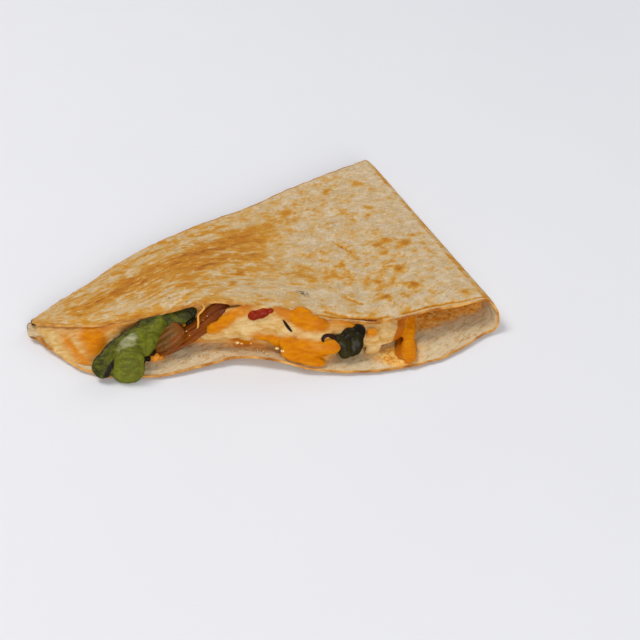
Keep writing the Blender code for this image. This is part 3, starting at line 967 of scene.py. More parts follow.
def lobe_tints(points, lobes, base, blend=0.12):
    """The tint of the lobe that each point is deepest in or nearest to, blended where two are as near."""
    depths = []
    for lobe in lobes:
        axes, middle = lobe_matrix(lobe)
        local = (points - middle) @ np.linalg.inv(axes).T
        size = np.linalg.norm(axes, axis=0).min() / MM
        depths.append((1 - np.linalg.norm(local, axis=1)) * size)
    depths = np.array([*depths, np.full(len(points), -0.35)])
    weights = np.exp(np.clip(depths / blend, -60, 60))
    tints = np.array([np.atleast_1d(lobe.tint) for lobe in lobes])
    base = np.broadcast_to(np.reshape(base, (-1, tints.shape[1])), (len(points), tints.shape[1]))
    shares = weights[:-1].T @ tints + weights[-1][:, None] * base
    return np.squeeze(shares / weights.sum(axis=0)[:, None])


# --- the cheese. Tint runs from white (0) through tan (0.5) to orange (1). ---

CHEESE_LOBES = (
    # the left end, by the tip: a thin smear with a pale streak
    Limb((0.088, 0.66, 1.2), (0.132, -0.04, 5.3), 3.0, 1.5, 1.0),
    Limb((0.126, 0.88, 0.7), (0.168, 0.42, 2.6), 5.6, 2.0, 1.0),
    Limb((0.166, 0.58, 2.0), (0.150, -0.12, 5.6), 4.4, 1.8, 1.0),
    Limb((0.096, 0.74, 1.2), (0.134, 0.22, 4.0), 1.3, 1.9, 0.1),
    Limb((0.150, 0.94, 0.4), (0.218, 0.86, 0.3), 2.8, 1.8, 0.62),
    Limb((0.172, 0.72, 1.1), (0.208, 0.66, 0.7), 3.2, 1.8, 0.45),
    Limb((0.203, 0.80, 0.5), (0.163, -0.05, 5.2), 0.8, 1.9, 0.1),
    Lobe(0.196, 0.94, 0.4, (12.0, 2.0, 2.0), 6, 0.62, 0),
    # left of the middle: white, under an orange patch
    Lobe(0.404, 0.34, 0.8, (9.0, 4.2, 3.0), 14, 0.0),
    Lobe(0.440, 0.50, 0.8, (13.0, 6.6, 3.4), 14, 0.0),
    Lobe(0.470, 0.46, 0.9, (7.0, 6.0, 3.4), 0, 0.05),
    Lobe(0.474, 0.84, 0.4, (7.0, 5.0, 2.4), 0, 0.12),
    Lobe(0.404, 0.55, 1.9, (5.6, 3.4, 2.4), 24, 1.0),
    Lobe(0.426, 0.68, 1.7, (8.0, 3.6, 2.6), 38, 1.0),
    Lobe(0.454, 0.84, 1.3, (7.0, 3.2, 2.6), 22, 1.0),
    # the middle: orange beside and under white
    Lobe(0.500, 0.40, 1.3, (10.0, 3.0, 2.6), -10, 1.0, 10),
    Lobe(0.536, 0.34, 2.2, (7.0, 3.2, 2.6), -14, 1.0, 20),
    Lobe(0.550, 0.90, 0.5, (9.0, 3.8, 2.6), -8, 0.85),
    Lobe(0.522, 0.66, 0.8, (7.0, 5.4, 3.2), 0, 0.1),
    Lobe(0.496, 0.78, 0.3, (12.0, 7.0, 3.0), 0, 0.12),
    Lobe(0.505, 0.60, 0.8, (8.0, 6.0, 3.2), 0, 0.1),
    Lobe(0.446, 0.72, 0.4, (9.0, 6.0, 3.0), 10, 0.3),
    Lobe(0.552, 0.62, 1.4, (6.4, 5.0, 3.2), 20, 0.04),
    # the large lobe under the top layer, on its pale lower lip
    Lobe(0.580, 0.66, 2.0, (5.6, 2.6, 2.4), -28, 0.22),
    Lobe(0.604, 0.62, 2.6, (7.0, 2.6, 2.6), 0, 0.22),
    Lobe(0.630, 0.70, 2.2, (6.0, 2.6, 2.4), 30, 0.22),
    Lobe(0.603, 0.86, 1.6, (10.4, 6.0, 3.4), 0, 1.0),
    Lobe(0.588, 1.06, 0.9, (6.0, 3.6, 2.8), -10, 0.95),
    Lobe(0.652, 0.82, 0.7, (8.0, 4.4, 2.6), 0, 0.3),
    Lobe(0.672, 0.95, 0.6, (8.0, 2.6, 2.2), 0, 0.85),
    # what has run out over the bottom layer, towards its cut
    Lobe(0.566, 0.36, 3.4, (8.0, 4.2, 3.4), -8, 1.0, 30),
    Lobe(0.604, 0.42, 3.6, (13.0, 4.8, 3.8), 0, 1.0, 30),
    Lobe(0.642, 0.46, 3.4, (7.6, 4.8, 3.4), 8, 1.0, 25),
    Lobe(0.574, 0.18, 5.6, (9.0, 4.0, 2.6), -6, 1.0, 60),
    Lobe(0.602, 0.14, 6.4, (9.6, 3.6, 2.4), -10, 1.0, 65),
    # right of the dark pepper: white, thinning towards the drip
    Limb((0.728, 0.84, 0.7), (0.744, 0.10, 1.6), 5.6, 2.6, 0.0),
    Limb((0.738, 0.30, 1.6), (0.752, -0.16, 4.0), 5.0, 1.8, 0.1),
    Limb((0.724, 0.72, 0.6), (0.826, 0.70, 0.6), 5.6, 2.6, 0.08),
    Limb((0.738, 0.58, 0.9), (0.818, 0.58, 0.9), 5.0, 2.6, 0.12),
    Limb((0.742, 0.42, 1.6), (0.832, 0.46, 5.0), 4.2, 2.2, 0.12),
    Limb((0.760, 0.56, 1.4), (0.836, 0.60, 3.6), 3.6, 2.2, 0.1),
    Lobe(0.826, 0.66, 0.5, (8.0, 4.0, 2.2), -4, 0.35),
    Lobe(0.738, 0.78, 1.4, (3.8, 2.8, 2.0), 0, 0.95),
    Lobe(0.868, 0.82, 0.2, (12.0, 2.2, 2.0), -4, 0.92),
)

# The drip: a path of (s, rise, out, width, thickness), as in the part's source
DRIP = (
    (0.843, 0.78, -0.6, 2.4, 1.6),
    (0.844, 0.66, 3.2, 2.6, 1.7),
    (0.844, 0.46, 7.0, 3.0, 1.6),
    (0.843, 0.28, 10.6, 3.4, 1.5),
    (0.842, 0.17, 14.0, 3.7, 1.3),
    (0.841, 0.10, 17.6, 3.9, 1.0),
    (0.840, 0.04, 22.6, 3.8, 0.6),
)
DRIP_SKIRT = (
    (0.843, 0.14, 5.6, 4.2, 0.9),
    (0.841, 0.08, 9.6, 5.6, 0.8),
    (0.839, 0.05, 13.6, 6.2, 0.6),
    (0.837, 0.04, 17.0, 6.6, 0.5),
    (0.835, 0.03, 19.8, 6.4, 0.4),
)

CHEESE_VOXEL = 0.32 * MM
DEEP = 7 * MM  # how far behind the face the cheese is hidden


def path_frames(path, count, grow=0.0):
    """(middle, across, facing, half width, half thickness) at even steps of a smooth path."""
    steps = np.linspace(0, 1, count)
    s, rise, out, width, thick = (curve(column, steps) for column in zip(*path))
    middles = mouth_point(s, rise, out)
    along = unit(np.gradient(middles, axis=0))
    facing = unit(MOUTH_OUT - along * (along @ MOUTH_OUT)[:, None])
    across = np.cross(along, facing)
    return middles, across, facing, width * MM / 2 + grow, thick * MM / 2 + grow


def tube(path, count=24, ring=24):
    """The points and faces of a strip along a path, with an oval section and round ends."""
    middles, across, facing, width, thick = path_frames(path, count)
    ends = (1 - abs(np.linspace(-1, 1, count)) ** 7) ** 0.5 + 0.02
    angles = np.linspace(0, 2 * pi, ring, endpoint=False)
    points = middles[:, None] + across[:, None] * ((width * ends)[:, None] * np.cos(angles))[..., None]
    points = points + facing[:, None] * ((thick * ends)[:, None] * np.sin(angles))[..., None]
    ids = np.arange(count * ring).reshape(count, ring)
    faces = grid_faces(ids, closed=True)
    faces += [ids[0].tolist(), ids[-1].tolist()]
    return points.reshape(-1, 3), faces


def cheese_core():
    """The points and faces of the cheese's body, which sticks to both layers."""
    s = np.linspace(CHEESE_START, CHEESE_END, 150)
    length = row_length(s)
    at_tip = 2.0 * MM * ease(1 - s / 0.06)
    top_first = (profile(CHEESE_TOP_RECESS, s) + 0.5 * MM * ease((s - 0.15) / 0.1) + at_tip) / length
    bottom_first = (np.maximum(profile(CHEESE_BOTTOM_RECESS, s) - spill(s), LEAST_RECESS) + at_tip) / length
    last = 1 - CHEESE_BACK_RECESS / length
    steps = np.linspace(0, 1, 34)[None, :]
    tops = top_point(top_first[:, None] + (last - top_first)[:, None] * steps, s[:, None]) - UP * STICK
    bottoms = bottom_point(bottom_first[:, None] + (last - bottom_first)[:, None] * steps, s[:, None]) + UP * STICK
    back = (tops[:, -1:] + bottoms[:, -1:]) / 2 + back_out(TOP) * 0.5 * MM
    rises = np.linspace(0, 1, 12)[1:-1][None, :, None]
    bulge = FACE_BULGE * ease(s / 0.22)[:, None, None] * np.sin(pi * rises)
    face = bottoms[:, :1] + (tops[:, :1] - bottoms[:, :1]) * rises + FRONT_OUT * bulge
    loops = np.concatenate([tops, back, bottoms[:, ::-1], face], axis=1)
    ids = np.arange(loops[..., 0].size).reshape(loops.shape[:2])
    return loops.reshape(-1, 3), grid_faces(ids, closed=True) + [ids[0].tolist(), ids[-1].tolist()]


def face_depth(points):
    """How far behind the open mouth each point is, and how far from the back cut."""
    s = np.clip(points[:, 0] / CUT_LENGTH, 0.02, 1)
    front = top_point(0, s)[:, 1]
    ends = top_point(1, s)
    return points[:, 1] - front, (ends - points) @ back_out(TOP)


def thinned(mesh, points, share):
    """The mesh with fewer faces where it is hidden inside."""
    behind, ahead = face_depth(points)
    hidden = (behind > DEEP + 12 * MM) & (ahead > 4 * MM)
    obj = bpy.data.objects.new("thinned", mesh)
    bpy.context.scene.collection.objects.link(obj)
    group = obj.vertex_groups.new(name="hidden")
    group.add(np.nonzero(hidden)[0].tolist(), 1.0, "REPLACE")
    decimate = obj.modifiers.new("decimate", "DECIMATE")
    decimate.ratio = share
    decimate.vertex_group = group.name
    result = baked(obj)
    return result


def make_cheese(material):
    parts = [cheese_core(), *lobe_parts(CHEESE_LOBES), tube(DRIP), tube(DRIP_SKIRT)]
    mesh = melted("melted_cheese", parts, CHEESE_VOXEL, 12)
    points = mesh_points(mesh)
    normals = mesh_normals(mesh)
    ripple = 0.1 * noise(points, (6 * MM, 2.6 * MM, 2.6 * MM), 71) + 0.045 * rough(points, 1.3 * MM, 72)
    points = points + normals * (MM * ripple)[:, None]
    points[:, 2] = np.maximum(points[:, 2], 0.3 * MM)
    move_points(mesh, points)
    mesh = thinned(mesh, points, 0.5)
    points = mesh_points(mesh)
    add_mark(mesh, "tint", cheese_tints(points))
    add_mark(mesh, "soaked", cheese_shade_and_oil(points))
    return add_piece("melted_cheese", mesh, material, "cheese", ["cheese"])


def cheese_tints(points):
    wander = 0.22 * MM * np.stack([noise(points, 1.6 * MM, seed) for seed in (81, 82, 83)], axis=1)
    inside = np.clip(0.5 + 0.9 * noise(points, 9 * MM, 84), 0, 1) * ease((points[:, 0] / CUT_LENGTH - 0.07) / 0.05)
    tint = lobe_tints(points + wander, CHEESE_LOBES, inside, 0.26)
    for path in (DRIP, DRIP_SKIRT):
        middles, _, _, width, _ = path_frames(path, 24)
        apart = np.linalg.norm(points[:, None] - middles[None, 3:], axis=2) - width[None, 3:]
        tint = np.where(apart.min(axis=1) < 0.5 * MM, 1.0, tint)
    return tint


def cheese_shade_and_oil(points):
    """How brown the cheese is: painted shade deep under the top layer, and oil round the drip."""
    s = np.clip(points[:, 0] / CUT_LENGTH, 0.02, 1)
    high = top_point(0, s)[:, 2]
    # Painted shade: browner within 2.6 mm under the top layer
    under = ease(1 - (high - points[:, 2]) / (2.6 * MM))
    patchy = ease(0.5 + 1.2 * noise(points, 7 * MM, 86))
    middles, _, _, width, _ = path_frames(DRIP, 24)
    apart = np.linalg.norm(points[:, None] - middles[None, 5:], axis=2)
    skirt = ease((apart.min(axis=1) - 1.5 * MM) / (0.9 * MM)) * ease(1 - (apart.min(axis=1) - 4.2 * MM) / (1 * MM))
    return np.clip(0.75 * under * patchy + 0.9 * skirt, 0, 1)


def cheese_material():
    n = Nodes(
        "melted_cheese",
        IOR=1.4,
        Subsurface_Weight=0.16,
        Subsurface_Radius=(0.003, 0.0012, 0.0004),
        Subsurface_Scale=1.0,
        Specular_IOR_Level=0.12,
    )
    tint = n.mark("tint")
    soaked = n.mark("soaked")
    fine = n.noise(0.0009, 4, 0.65)
    broad = n.noise(0.004, 3, 0.6)
    shade = n.maths("MULTIPLY_ADD", fine, 0.18, n.maths("SUBTRACT", tint, 0.09))
    streaks = n.noise(1.0, 4, 0.65, n.stretched(n.place, (0.004, 0.0012, 0.0012)), 0.3)
    white = n.mix(n.between(streaks, 0.3, 0.7), srgb(194, 146, 64), srgb(220, 190, 136))
    orange = n.mix(n.between(streaks, 0.3, 0.7), srgb(192, 106, 0), srgb(210, 134, 0))
    colour = n.ramp(
        shade,
        (
            (0.0, (0, 0, 0, 1)),
            (0.2, (0.04, 0.04, 0.04, 1)),
            (0.5, (0.5, 0.5, 0.5, 1)),
            (0.85, (1, 1, 1, 1)),
        ),
    )
    colour = n.mix(colour, white, orange)
    brown = n.mix(fine, srgb(160, 78, 2), srgb(190, 108, 8))
    # Brown where the soaked mark says: painted shade under the top layer, and oil round the drip
    colour = n.mix(n.between(soaked, 0.15, 1.0), colour, brown)
    glints = n.between(n.noise(0.0011, 2, 0.5), 0.6, 0.68)
    roughness = n.maths("SUBTRACT", n.maths("MULTIPLY_ADD", fine, 0.3, 0.36), n.maths("MULTIPLY", glints, 0.24))
    height = n.maths("ADD", n.maths("MULTIPLY", fine, 0.4), n.maths("MULTIPLY_ADD", streaks, 0.4, broad))
    return n.finish(colour, roughness, n.bump(height, 0.0003, 0.5))


# --- the green pepper ---

SKIN, FLESH, BULB, RIB_AND_HIGHLIGHT = (1, 0, 0), (0, 0, 0), (0, 1, 0), (0, 0, 1)
GREEN_PEPPER_LOBES = (
    # the dark skin, from the lower left up to where it goes under the top layer
    Limb((0.172, -0.12, 12.7), (0.178, 0.74, 9.6), 6.2, 3.6, SKIN),
    Limb((0.166, 0.40, 10.6), (0.206, 0.92, 6.4), 4.4, 3.2, SKIN),
    Limb((0.196, 0.80, 7.4), (0.244, 0.92, 3.0), 3.6, 3.2, SKIN),
    Limb((0.232, 0.88, 3.8), (0.290, 0.92, 1.2), 4.0, 3.0, SKIN),
    Limb((0.262, 0.88, 1.9), (0.330, 0.86, 0.5), 4.6, 2.6, SKIN),
    Limb((0.300, 0.87, 1.0), (0.366, 0.82, 0.1), 4.2, 2.2, SKIN),
    Limb((0.300, 0.76, 1.1), (0.356, 0.74, 0.3), 3.2, 2.2, SKIN),
    # the flesh, its pale rib with a painted highlight on it, and its bulb
    Lobe(0.227, 0.17, 10.8, (9.2, 9.8, 6.2), 0, BULB),
    Lobe(0.226, 0.46, 10.2, (8.6, 6.0, 5.4), 0, (0, 0.5, 0)),
    Limb((0.214, 0.40, 10.4), (0.240, 0.66, 8.0), 7.6, 5.0, FLESH),
    Limb((0.206, 0.42, 10.0), (0.262, 0.88, 4.0), 7.0, 4.8, FLESH),
    Limb((0.232, 0.30, 9.0), (0.282, 0.80, 3.4), 5.6, 4.2, FLESH),
    Limb((0.250, 0.66, 5.2), (0.296, 0.90, 1.8), 4.6, 3.4, FLESH),
    Limb((0.202, 0.54, 10.2), (0.240, 0.98, 6.4), 4.6, 4.0, RIB_AND_HIGHLIGHT),
)


def slab(path, count, ring, shape, marks):
    """A strip whose front is shaped. shape(t, a) gives how far out the front lies, as a share of the half thickness,
    at t along the path and a across it (-1 to 1). marks(t, a, front) gives what the material reads."""
    middles, across, facing, width, thick = path_frames(path, count)
    t = np.linspace(0, 1, count)[:, None]
    ends = (1 - abs(np.linspace(-1, 1, count)) ** 6) ** 0.5 + 0.02
    width, thick = width * ends, thick * ends
    angles = np.linspace(0, 2 * pi, ring, endpoint=False)[None, :]
    a = np.cos(angles) * np.ones_like(t)
    height = np.sin(angles) * np.ones_like(t)
    front = height > 0
    lift = np.where(front, np.abs(height) ** 0.7 * shape(t * np.ones_like(a), a), height)
    points = middles[:, None] + across[:, None] * (width[:, None] * a)[..., None]
    points = points + facing[:, None] * (thick[:, None] * lift)[..., None]
    ids = np.arange(count * ring).reshape(count, ring)
    faces = grid_faces(ids, closed=True) + [ids[0].tolist(), ids[-1].tolist()]
    values = {key: value.ravel() for key, value in marks(t * np.ones_like(a), a, front).items()}
    return points.reshape(-1, 3), faces, values


def dip(value, middle, width):
    return np.exp(-(((value - middle) / width) ** 2))


def roughened(mesh, amounts):
    """The mesh with its points moved along their normals. Each amount is (mm, size, seed)."""
    points = mesh_points(mesh)
    normals = mesh_normals(mesh)
    move = sum(amount * noise(points, size, seed) for amount, size, seed in amounts)
    move_points(mesh, points + normals * (MM * move)[:, None])
    return mesh


def make_green_pepper(material):
    mesh = melted("green_pepper_strip", list(lobe_parts(GREEN_PEPPER_LOBES)), 0.26 * MM, 9)
    points = mesh_points(mesh)
    wander = 0.25 * MM * np.stack([noise(points, 1.4 * MM, seed) for seed in (94, 95, 96)], axis=1)
    kinds = lobe_tints(points + wander, GREEN_PEPPER_LOBES, (0, 0, 0), 0.22)
    bumps = 0.2 * noise(points, 2.6 * MM, 91) + 0.16 * rough(points, 1.1 * MM, 92)
    lines = 0.08 * noise(points, (0.7 * MM, 5 * MM, 2 * MM), 93)
    move = bumps * (0.35 + 0.65 * kinds[:, 0]) + lines * (1 - kinds[:, 2])
    move_points(mesh, points + mesh_normals(mesh) * (MM * move)[:, None])
    add_mark(mesh, "kinds", kinds)
    # Painted shade: the skin is darker where it faces up, left and back, away from the camera
    shaded = ease((mesh_normals(mesh) @ unit(np.array((-0.72, 0.42, 0.55))) - 0.5) / 0.4)
    add_mark(mesh, "dark", np.maximum(pepper_dark(mesh_points(mesh)), 0.75 * kinds[:, 0] * shaded))
    return add_piece("green_pepper_strip", mesh, material, "green_pepper", ["green_pepper"])


# Dark lines on the green pepper, partly char and partly painted shade in its grooves and under its upper end: the ends
# of each, then its width in mm and how dark it is
PEPPER_LINES = (
    ((0.204, 0.70, 9.6), (0.190, 0.46, 12.0), 0.7, 1.0),
    ((0.190, 0.46, 12.0), (0.183, 0.05, 13.6), 0.8, 1.1),
    ((0.212, 0.50, 11.4), (0.232, 0.44, 11.2), 0.4, 0.8),
    ((0.232, 0.44, 11.2), (0.252, 0.30, 10.6), 0.4, 0.8),
    ((0.262, 0.10, 10.6), (0.254, 0.40, 8.4), 0.9, 0.7),
    ((0.168, -0.25, 13.6), (0.146, 0.20, 12.4), 0.9, 0.8),
    ((0.272, 0.50, 4.6), (0.300, 0.80, 2.2), 0.6, 0.7),
    ((0.344, 0.94, 1.0), (0.368, 0.70, 0.8), 2.2, 0.6),
)


def pepper_dark(points):
    dark = np.zeros(len(points))
    for start, end, width, strength in PEPPER_LINES:
        first, last = mouth_point(*start), mouth_point(*end)
        run = last - first
        near = np.clip((points - first) @ run / (run @ run), 0, 1)
        far = np.linalg.norm(points - first - near[:, None] * run, axis=1)
        dark = np.maximum(dark, strength * np.exp(-((far / (width * MM)) ** 2)))
    return dark


def green_pepper_material():
    n = Nodes("green_pepper_flesh", IOR=1.38, Subsurface_Weight=0.1, Subsurface_Radius=(0.001, 0.0015, 0.0004))
    n.shader.inputs["Specular IOR Level"].default_value = 0.3
    kinds = n.add("SeparateXYZ", {0: n.mark("kinds", "Vector")}).outputs
    skin, ripe, rib_and_highlight, dark = kinds[0], kinds[1], kinds[2], n.mark("dark")
    fine = n.noise(0.0006, 4, 0.7)
    cells = n.noise(1.0, 4, 0.65, n.stretched(n.place, (0.0026, 0.0012, 0.0012)), 0.3)
    flesh = n.mix(n.between(cells, 0.3, 0.7), srgb(78, 80, 4), srgb(114, 119, 21))
    bulb = n.mix(n.between(cells, 0.3, 0.7), srgb(84, 86, 7), srgb(116, 120, 26))
    flesh = n.mix(ripe, flesh, bulb)
    # The pale rib, with a painted highlight on it
    pale = n.mix(n.between(cells, 0.35, 0.65), srgb(128, 130, 82), srgb(174, 170, 136))
    flesh = n.mix(n.between(rib_and_highlight, 0.3, 0.75), flesh, pale)
    rind = n.mix(n.between(cells, 0.36, 0.62), srgb(46, 48, 2), srgb(88, 90, 10))
    ragged = n.maths("MULTIPLY_ADD", fine, 0.5, n.maths("SUBTRACT", skin, 0.25))
    colour = n.mix(n.between(ragged, 0.3, 0.65), flesh, rind)
    # Near-black where the dark mark is: painted shade on the skin's far side and in the grooves, and char
    darkening = n.maths("MULTIPLY_ADD", cells, 0.7, n.maths("SUBTRACT", dark, 0.35))
    colour = n.mix(n.between(darkening, 0.15, 0.7), colour, srgb(24, 15, 4))
    freckles = n.between(n.noise(0.0012, 3, 0.65), 0.58, 0.7)
    freckled = n.maths("MULTIPLY", freckles, n.maths("SUBTRACT", 0.6, n.maths("MULTIPLY", rib_and_highlight, 0.5)))
    colour = n.mix(freckled, colour, srgb(44, 40, 6))
    glints = n.between(n.noise(0.0009, 2, 0.5), 0.66, 0.72)
    roughness = n.maths("SUBTRACT", n.maths("MULTIPLY_ADD", fine, 0.3, 0.34), n.maths("MULTIPLY", glints, 0.3))
    return n.finish(colour, roughness, n.bump(n.maths("ADD", fine, cells), 0.0003, 0.6))


# --- the onion ---

ONION_PETAL = (
    (0.268, 0.20, 3.4, 4.6, 1.6),
    (0.280, 0.30, 3.2, 6.8, 2.2),
    (0.298, 0.42, 2.8, 8.0, 2.8),
    (0.316, 0.54, 2.4, 7.4, 2.6),
    (0.334, 0.66, 1.8, 4.6, 1.8),
)
ONION_STRIP = (
    (0.268, -0.02, 4.2, 2.0, 1.2),
    (0.292, 0.03, 3.4, 3.8, 2.0),
    (0.330, 0.22, 1.8, 4.6, 2.2),
    (0.365, 0.46, 1.0, 4.8, 2.4),
    (0.398, 0.70, 0.7, 5.6, 2.4),
    (0.420, 0.80, 0.4, 5.8, 2.2),
    (0.434, 0.84, -0.8, 4.4, 1.6),
)


def petal_shape(t, a):
    rim = ease((abs(a) - 0.55) / 0.3)
    return 0.55 + 0.5 * rim + 0.07 * np.sin(16 * a)


def petal_marks(t, a, front):
    rim = np.maximum(ease((abs(a) - 0.5) / 0.25), ease((abs(t - 0.5) - 0.3) / 0.14))
    outline = np.maximum(dip(abs(a), 0.8, 0.1), dip(abs(t - 0.5), 0.44, 0.03))
    dark = np.maximum(ease((t - 0.9) / 0.1), 0.5 * outline)
    return {"rim": np.where(front, rim, 1.0), "dark": np.where(front, dark, 0.2)}


def strip_shape(t, a):
    return 0.8 + 0.16 * np.sin(9 * a + 2 * t) + 0.12 * np.sin(17 * a + 4)


def strip_marks(t, a, front):
    return {"rim": np.where(front, 0.5 + 0.4 * np.sin(12 * a), 1.0), "dark": 0.1 + 0.7 * ease((t - 0.45) / 0.5)}


def make_onion(name, path, shape, marks, material, seed):
    points, faces, values = slab(path, 90, 90, shape, marks)
    mesh = plain_mesh(name, points, faces, values)
    roughened(mesh, ((0.2, 3.0 * MM, seed), (0.07, 1.0 * MM, seed + 1)))
    return add_piece(name, mesh, material, name[: name.rindex("_")], [name[: name.rindex("_")]])


def onion_material(name, light, mid, deep):
    """Fried onion: translucent and glossy, with fibres along it, browner where its mark is dark."""
    n = Nodes(name, IOR=1.38, Subsurface_Weight=0.15, Subsurface_Radius=(0.002, 0.0007, 0.0002), Coat_Weight=0.1)
    n.shader.inputs["Coat Roughness"].default_value = 0.12
    n.shader.inputs["Specular IOR Level"].default_value = 0.15
    rim, dark = map(n.mark, ("rim", "dark"))
    fine = n.noise(0.0008, 4, 0.65)
    broad = n.noise(0.003, 3, 0.6)
    colour = n.mix(n.between(broad, 0.3, 0.7), light, mid)
    colour = n.mix(n.maths("MULTIPLY", rim, 0.75), colour, mid)
    colour = n.mix(n.between(n.maths("MULTIPLY_ADD", fine, 0.5, n.maths("SUBTRACT", dark, 0.25)), 0.1, 0.9), colour, deep)
    roughness = n.maths("MULTIPLY_ADD", fine, 0.3, 0.25)
    return n.finish(colour, roughness, n.bump(n.maths("ADD", fine, broad), 0.0003, 0.6))


# --- the dark pepper, the red pepper and the small bits. Tint is how dark they are. ---

DARK_PEPPER_LOBES = (
    Limb((0.708, 1.02, 0.8), (0.704, 0.60, 2.2), 4.4, 2.8, 0.8),
    Limb((0.702, 0.86, 1.6), (0.684, 0.06, 3.8), 6.4, 3.6, 0.45),
    Limb((0.652, 0.64, 2.6), (0.690, 0.46, 3.2), 5.2, 3.0, 0.5),
    Limb((0.668, 0.72, 2.4), (0.700, 0.84, 1.8), 3.6, 2.8, 0.6),
    Limb((0.714, 0.80, 1.4), (0.700, 0.14, 3.2), 2.6, 2.8, 0.95),
    Limb((0.664, 0.40, 3.6), (0.694, 0.20, 3.8), 4.0, 3.0, 0.3),
)
RED_PEPPER_LOBES = (
    Lobe(0.484, 0.82, 1.6, (3.6, 3.0, 2.4), 20, 0.5),
    Lobe(0.498, 0.87, 1.6, (5.0, 3.0, 2.4), 24, 0.5),
    Lobe(0.512, 0.93, 1.2, (4.0, 2.0, 2.0), 20, 0.4),
)


def make_lobed(name, lobes, material, slot, voxel, amounts, replaced):
    mesh = melted(name, list(lobe_parts(lobes, 3)), voxel, 2)
    roughened(mesh, amounts)
    add_mark(mesh, "tint", lobe_tints(mesh_points(mesh), lobes, 0.5))
    return add_piece(name, mesh, material, slot, replaced)


def glossy_material(name, light, dark, low=0.16, weight=0.1, coat=0.1):
    """A wet-looking skin between two colours, darker where its tint says."""
    n = Nodes(name, IOR=1.4, Subsurface_Weight=weight, Subsurface_Radius=(0.002, 0.001, 0.0005), Coat_Weight=coat)
    n.shader.inputs["Coat Roughness"].default_value = 0.1
    n.shader.inputs["Specular IOR Level"].default_value = 0.12
    fine = n.noise(0.0006, 4, 0.7)
    broad = n.noise(0.0022, 4, 0.65)
    share = n.maths("MULTIPLY_ADD", broad, 1.2, n.maths("SUBTRACT", n.mark("tint"), 0.6))
    colour = n.mix(n.between(share, 0.15, 0.85), light, dark)
    roughness = n.maths("MULTIPLY_ADD", fine, 0.25, low)
    return n.finish(colour, roughness, n.bump(n.maths("ADD", fine, broad), 0.0004, 0.5))


# Blackened bits by the green pepper, then the black end of an onion layer, which also stands for the shadow under the
# green pepper's upper end: painted shadow
CHAR_LOBES = (
    Lobe(0.246, 0.40, 9.4, (2.8, 1.8, 1.8), 30, 1),
    Lobe(0.256, 0.34, 8.4, (3.0, 2.0, 1.8), -20, 0.8),
    Lobe(0.268, 0.38, 6.8, (2.6, 1.8, 1.6), 60, 0.4),
    Lobe(0.254, 0.20, 8.8, (2.8, 1.8, 1.8), 10, 1),
    Lobe(0.266, 0.20, 7.2, (2.6, 1.8, 1.6), -40, 0.9),
    Lobe(0.262, 0.50, 6.6, (1.8, 2.6, 1.6), 10, 0.7),
    Lobe(0.276, 0.26, 5.8, (2.0, 1.8, 1.6), 0, 0.7),
    # A black lump that stands in part for the shadow under the green pepper's upper end: painted shadow
    Limb((0.342, 0.64, 1.5), (0.362, 0.74, 1.1), 1.3, 1.2, 1),
)
CHEESE_BIT_LOBES = (
    Lobe(0.284, 0.02, 6.0, (3.0, 2.4, 2.2), 30, 0.3),
    Lobe(0.296, -0.04, 5.6, (2.6, 1.8, 2.0), -20, 0.5),
    Lobe(0.302, -0.08, 4.6, (2.0, 1.4, 1.6), 0, 0.6),
    Lobe(0.276, 0.06, 5.6, (2.0, 1.6, 1.6), 0, 0.7),
)
SLIVER = (
    (0.545, 0.86, 2.2, 0.3, 0.3),
    (0.549, 0.83, 2.8, 0.7, 0.6),
    (0.555, 0.78, 3.2, 0.8, 0.6),
    (0.561, 0.73, 3.4, 0.6, 0.5),
    (0.564, 0.71, 3.4, 0.3, 0.3),
)
CURL = (
    (0.631, 0.60, 3.9, 0.5, 0.5),
    (0.629, 0.68, 3.8, 0.9, 0.7),
    (0.633, 0.75, 3.7, 1.0, 0.7),
    (0.642, 0.77, 3.4, 1.0, 0.7),
    (0.654, 0.71, 3.0, 1.4, 0.9),
    (0.664, 0.64, 2.8, 1.4, 0.9),
)
STRING = (
    (0.366, 0.99, 0.6, 0.5, 0.4),
    (0.372, 0.99, 1.4, 0.5, 0.4),
    (0.379, 0.93, 1.8, 0.45, 0.4),
    (0.374, 0.86, 1.9, 0.5, 0.4),
    (0.367, 0.80, 1.9, 0.55, 0.45),
    (0.368, 0.66, 2.0, 0.6, 0.5),
    (0.367, 0.54, 2.0, 0.5, 0.4),
)

# Beads of oil: s, rise, out and width in mm
OIL_BEADS = (
    (0.452, 0.20, 2.6, 1.4),
    (0.461, 0.19, 2.8, 0.9),
    (0.480, 0.24, 3.2, 0.6),
    (0.534, 0.26, 4.6, 1.2),
    (0.546, 0.26, 5.4, 1.5),
    (0.556, 0.28, 5.8, 0.7),
    (0.300, 0.02, 3.8, 0.8),
    (0.318, 0.06, 3.4, 0.6),
    (0.344, 0.52, 2.2, 0.5),
    (0.352, 0.40, 2.4, 0.5),
    (0.378, 0.70, 1.9, 0.4),
    (0.386, 0.76, 1.8, 0.4),
)


def make_small(name, parts, material, slot, tint, sharp=70):
    points, faces = joined(parts)
    mesh = plain_mesh(name, points, faces, {"tint": np.full(len(points), tint)})
    return add_piece(name, mesh, material, slot, sharp=sharp)


def bead_parts():
    for s, rise, out, width in OIL_BEADS:
        yield from lobe_parts([Lobe(s, rise, out, (width, width * 0.6, width * 0.6))], 2)


def crumb_parts(seed, count):
    """Grains of tortilla on the bottom layer's inner face."""
    random = np.random.default_rng(seed)
    points, faces = ball(1)
    for _ in range(count):
        u = random.uniform(0.01, 0.09)
        s = random.choice([random.uniform(0.72, 0.97), random.uniform(0.30, 0.52)])
        size = random.uniform(0.12, 0.32, 3) * MM
        bumpy = points * (1 + 0.25 * random.standard_normal(points.shape))
        yield bumpy * size + bottom_point(u, s) + UP * (THICKNESS / 2 + 0.05 * MM), faces


# --- the scene ---

FIELD_OF_VIEW = radians(30)
CAMERA_AT = np.array((48.755, -271.884, 204.373)) * MM  # in the layout
CAMERA_RIGHT = Vector((0.99547, -0.08390, 0.04478))
CAMERA_UP = Vector((0.01386, 0.59382, 0.80448))


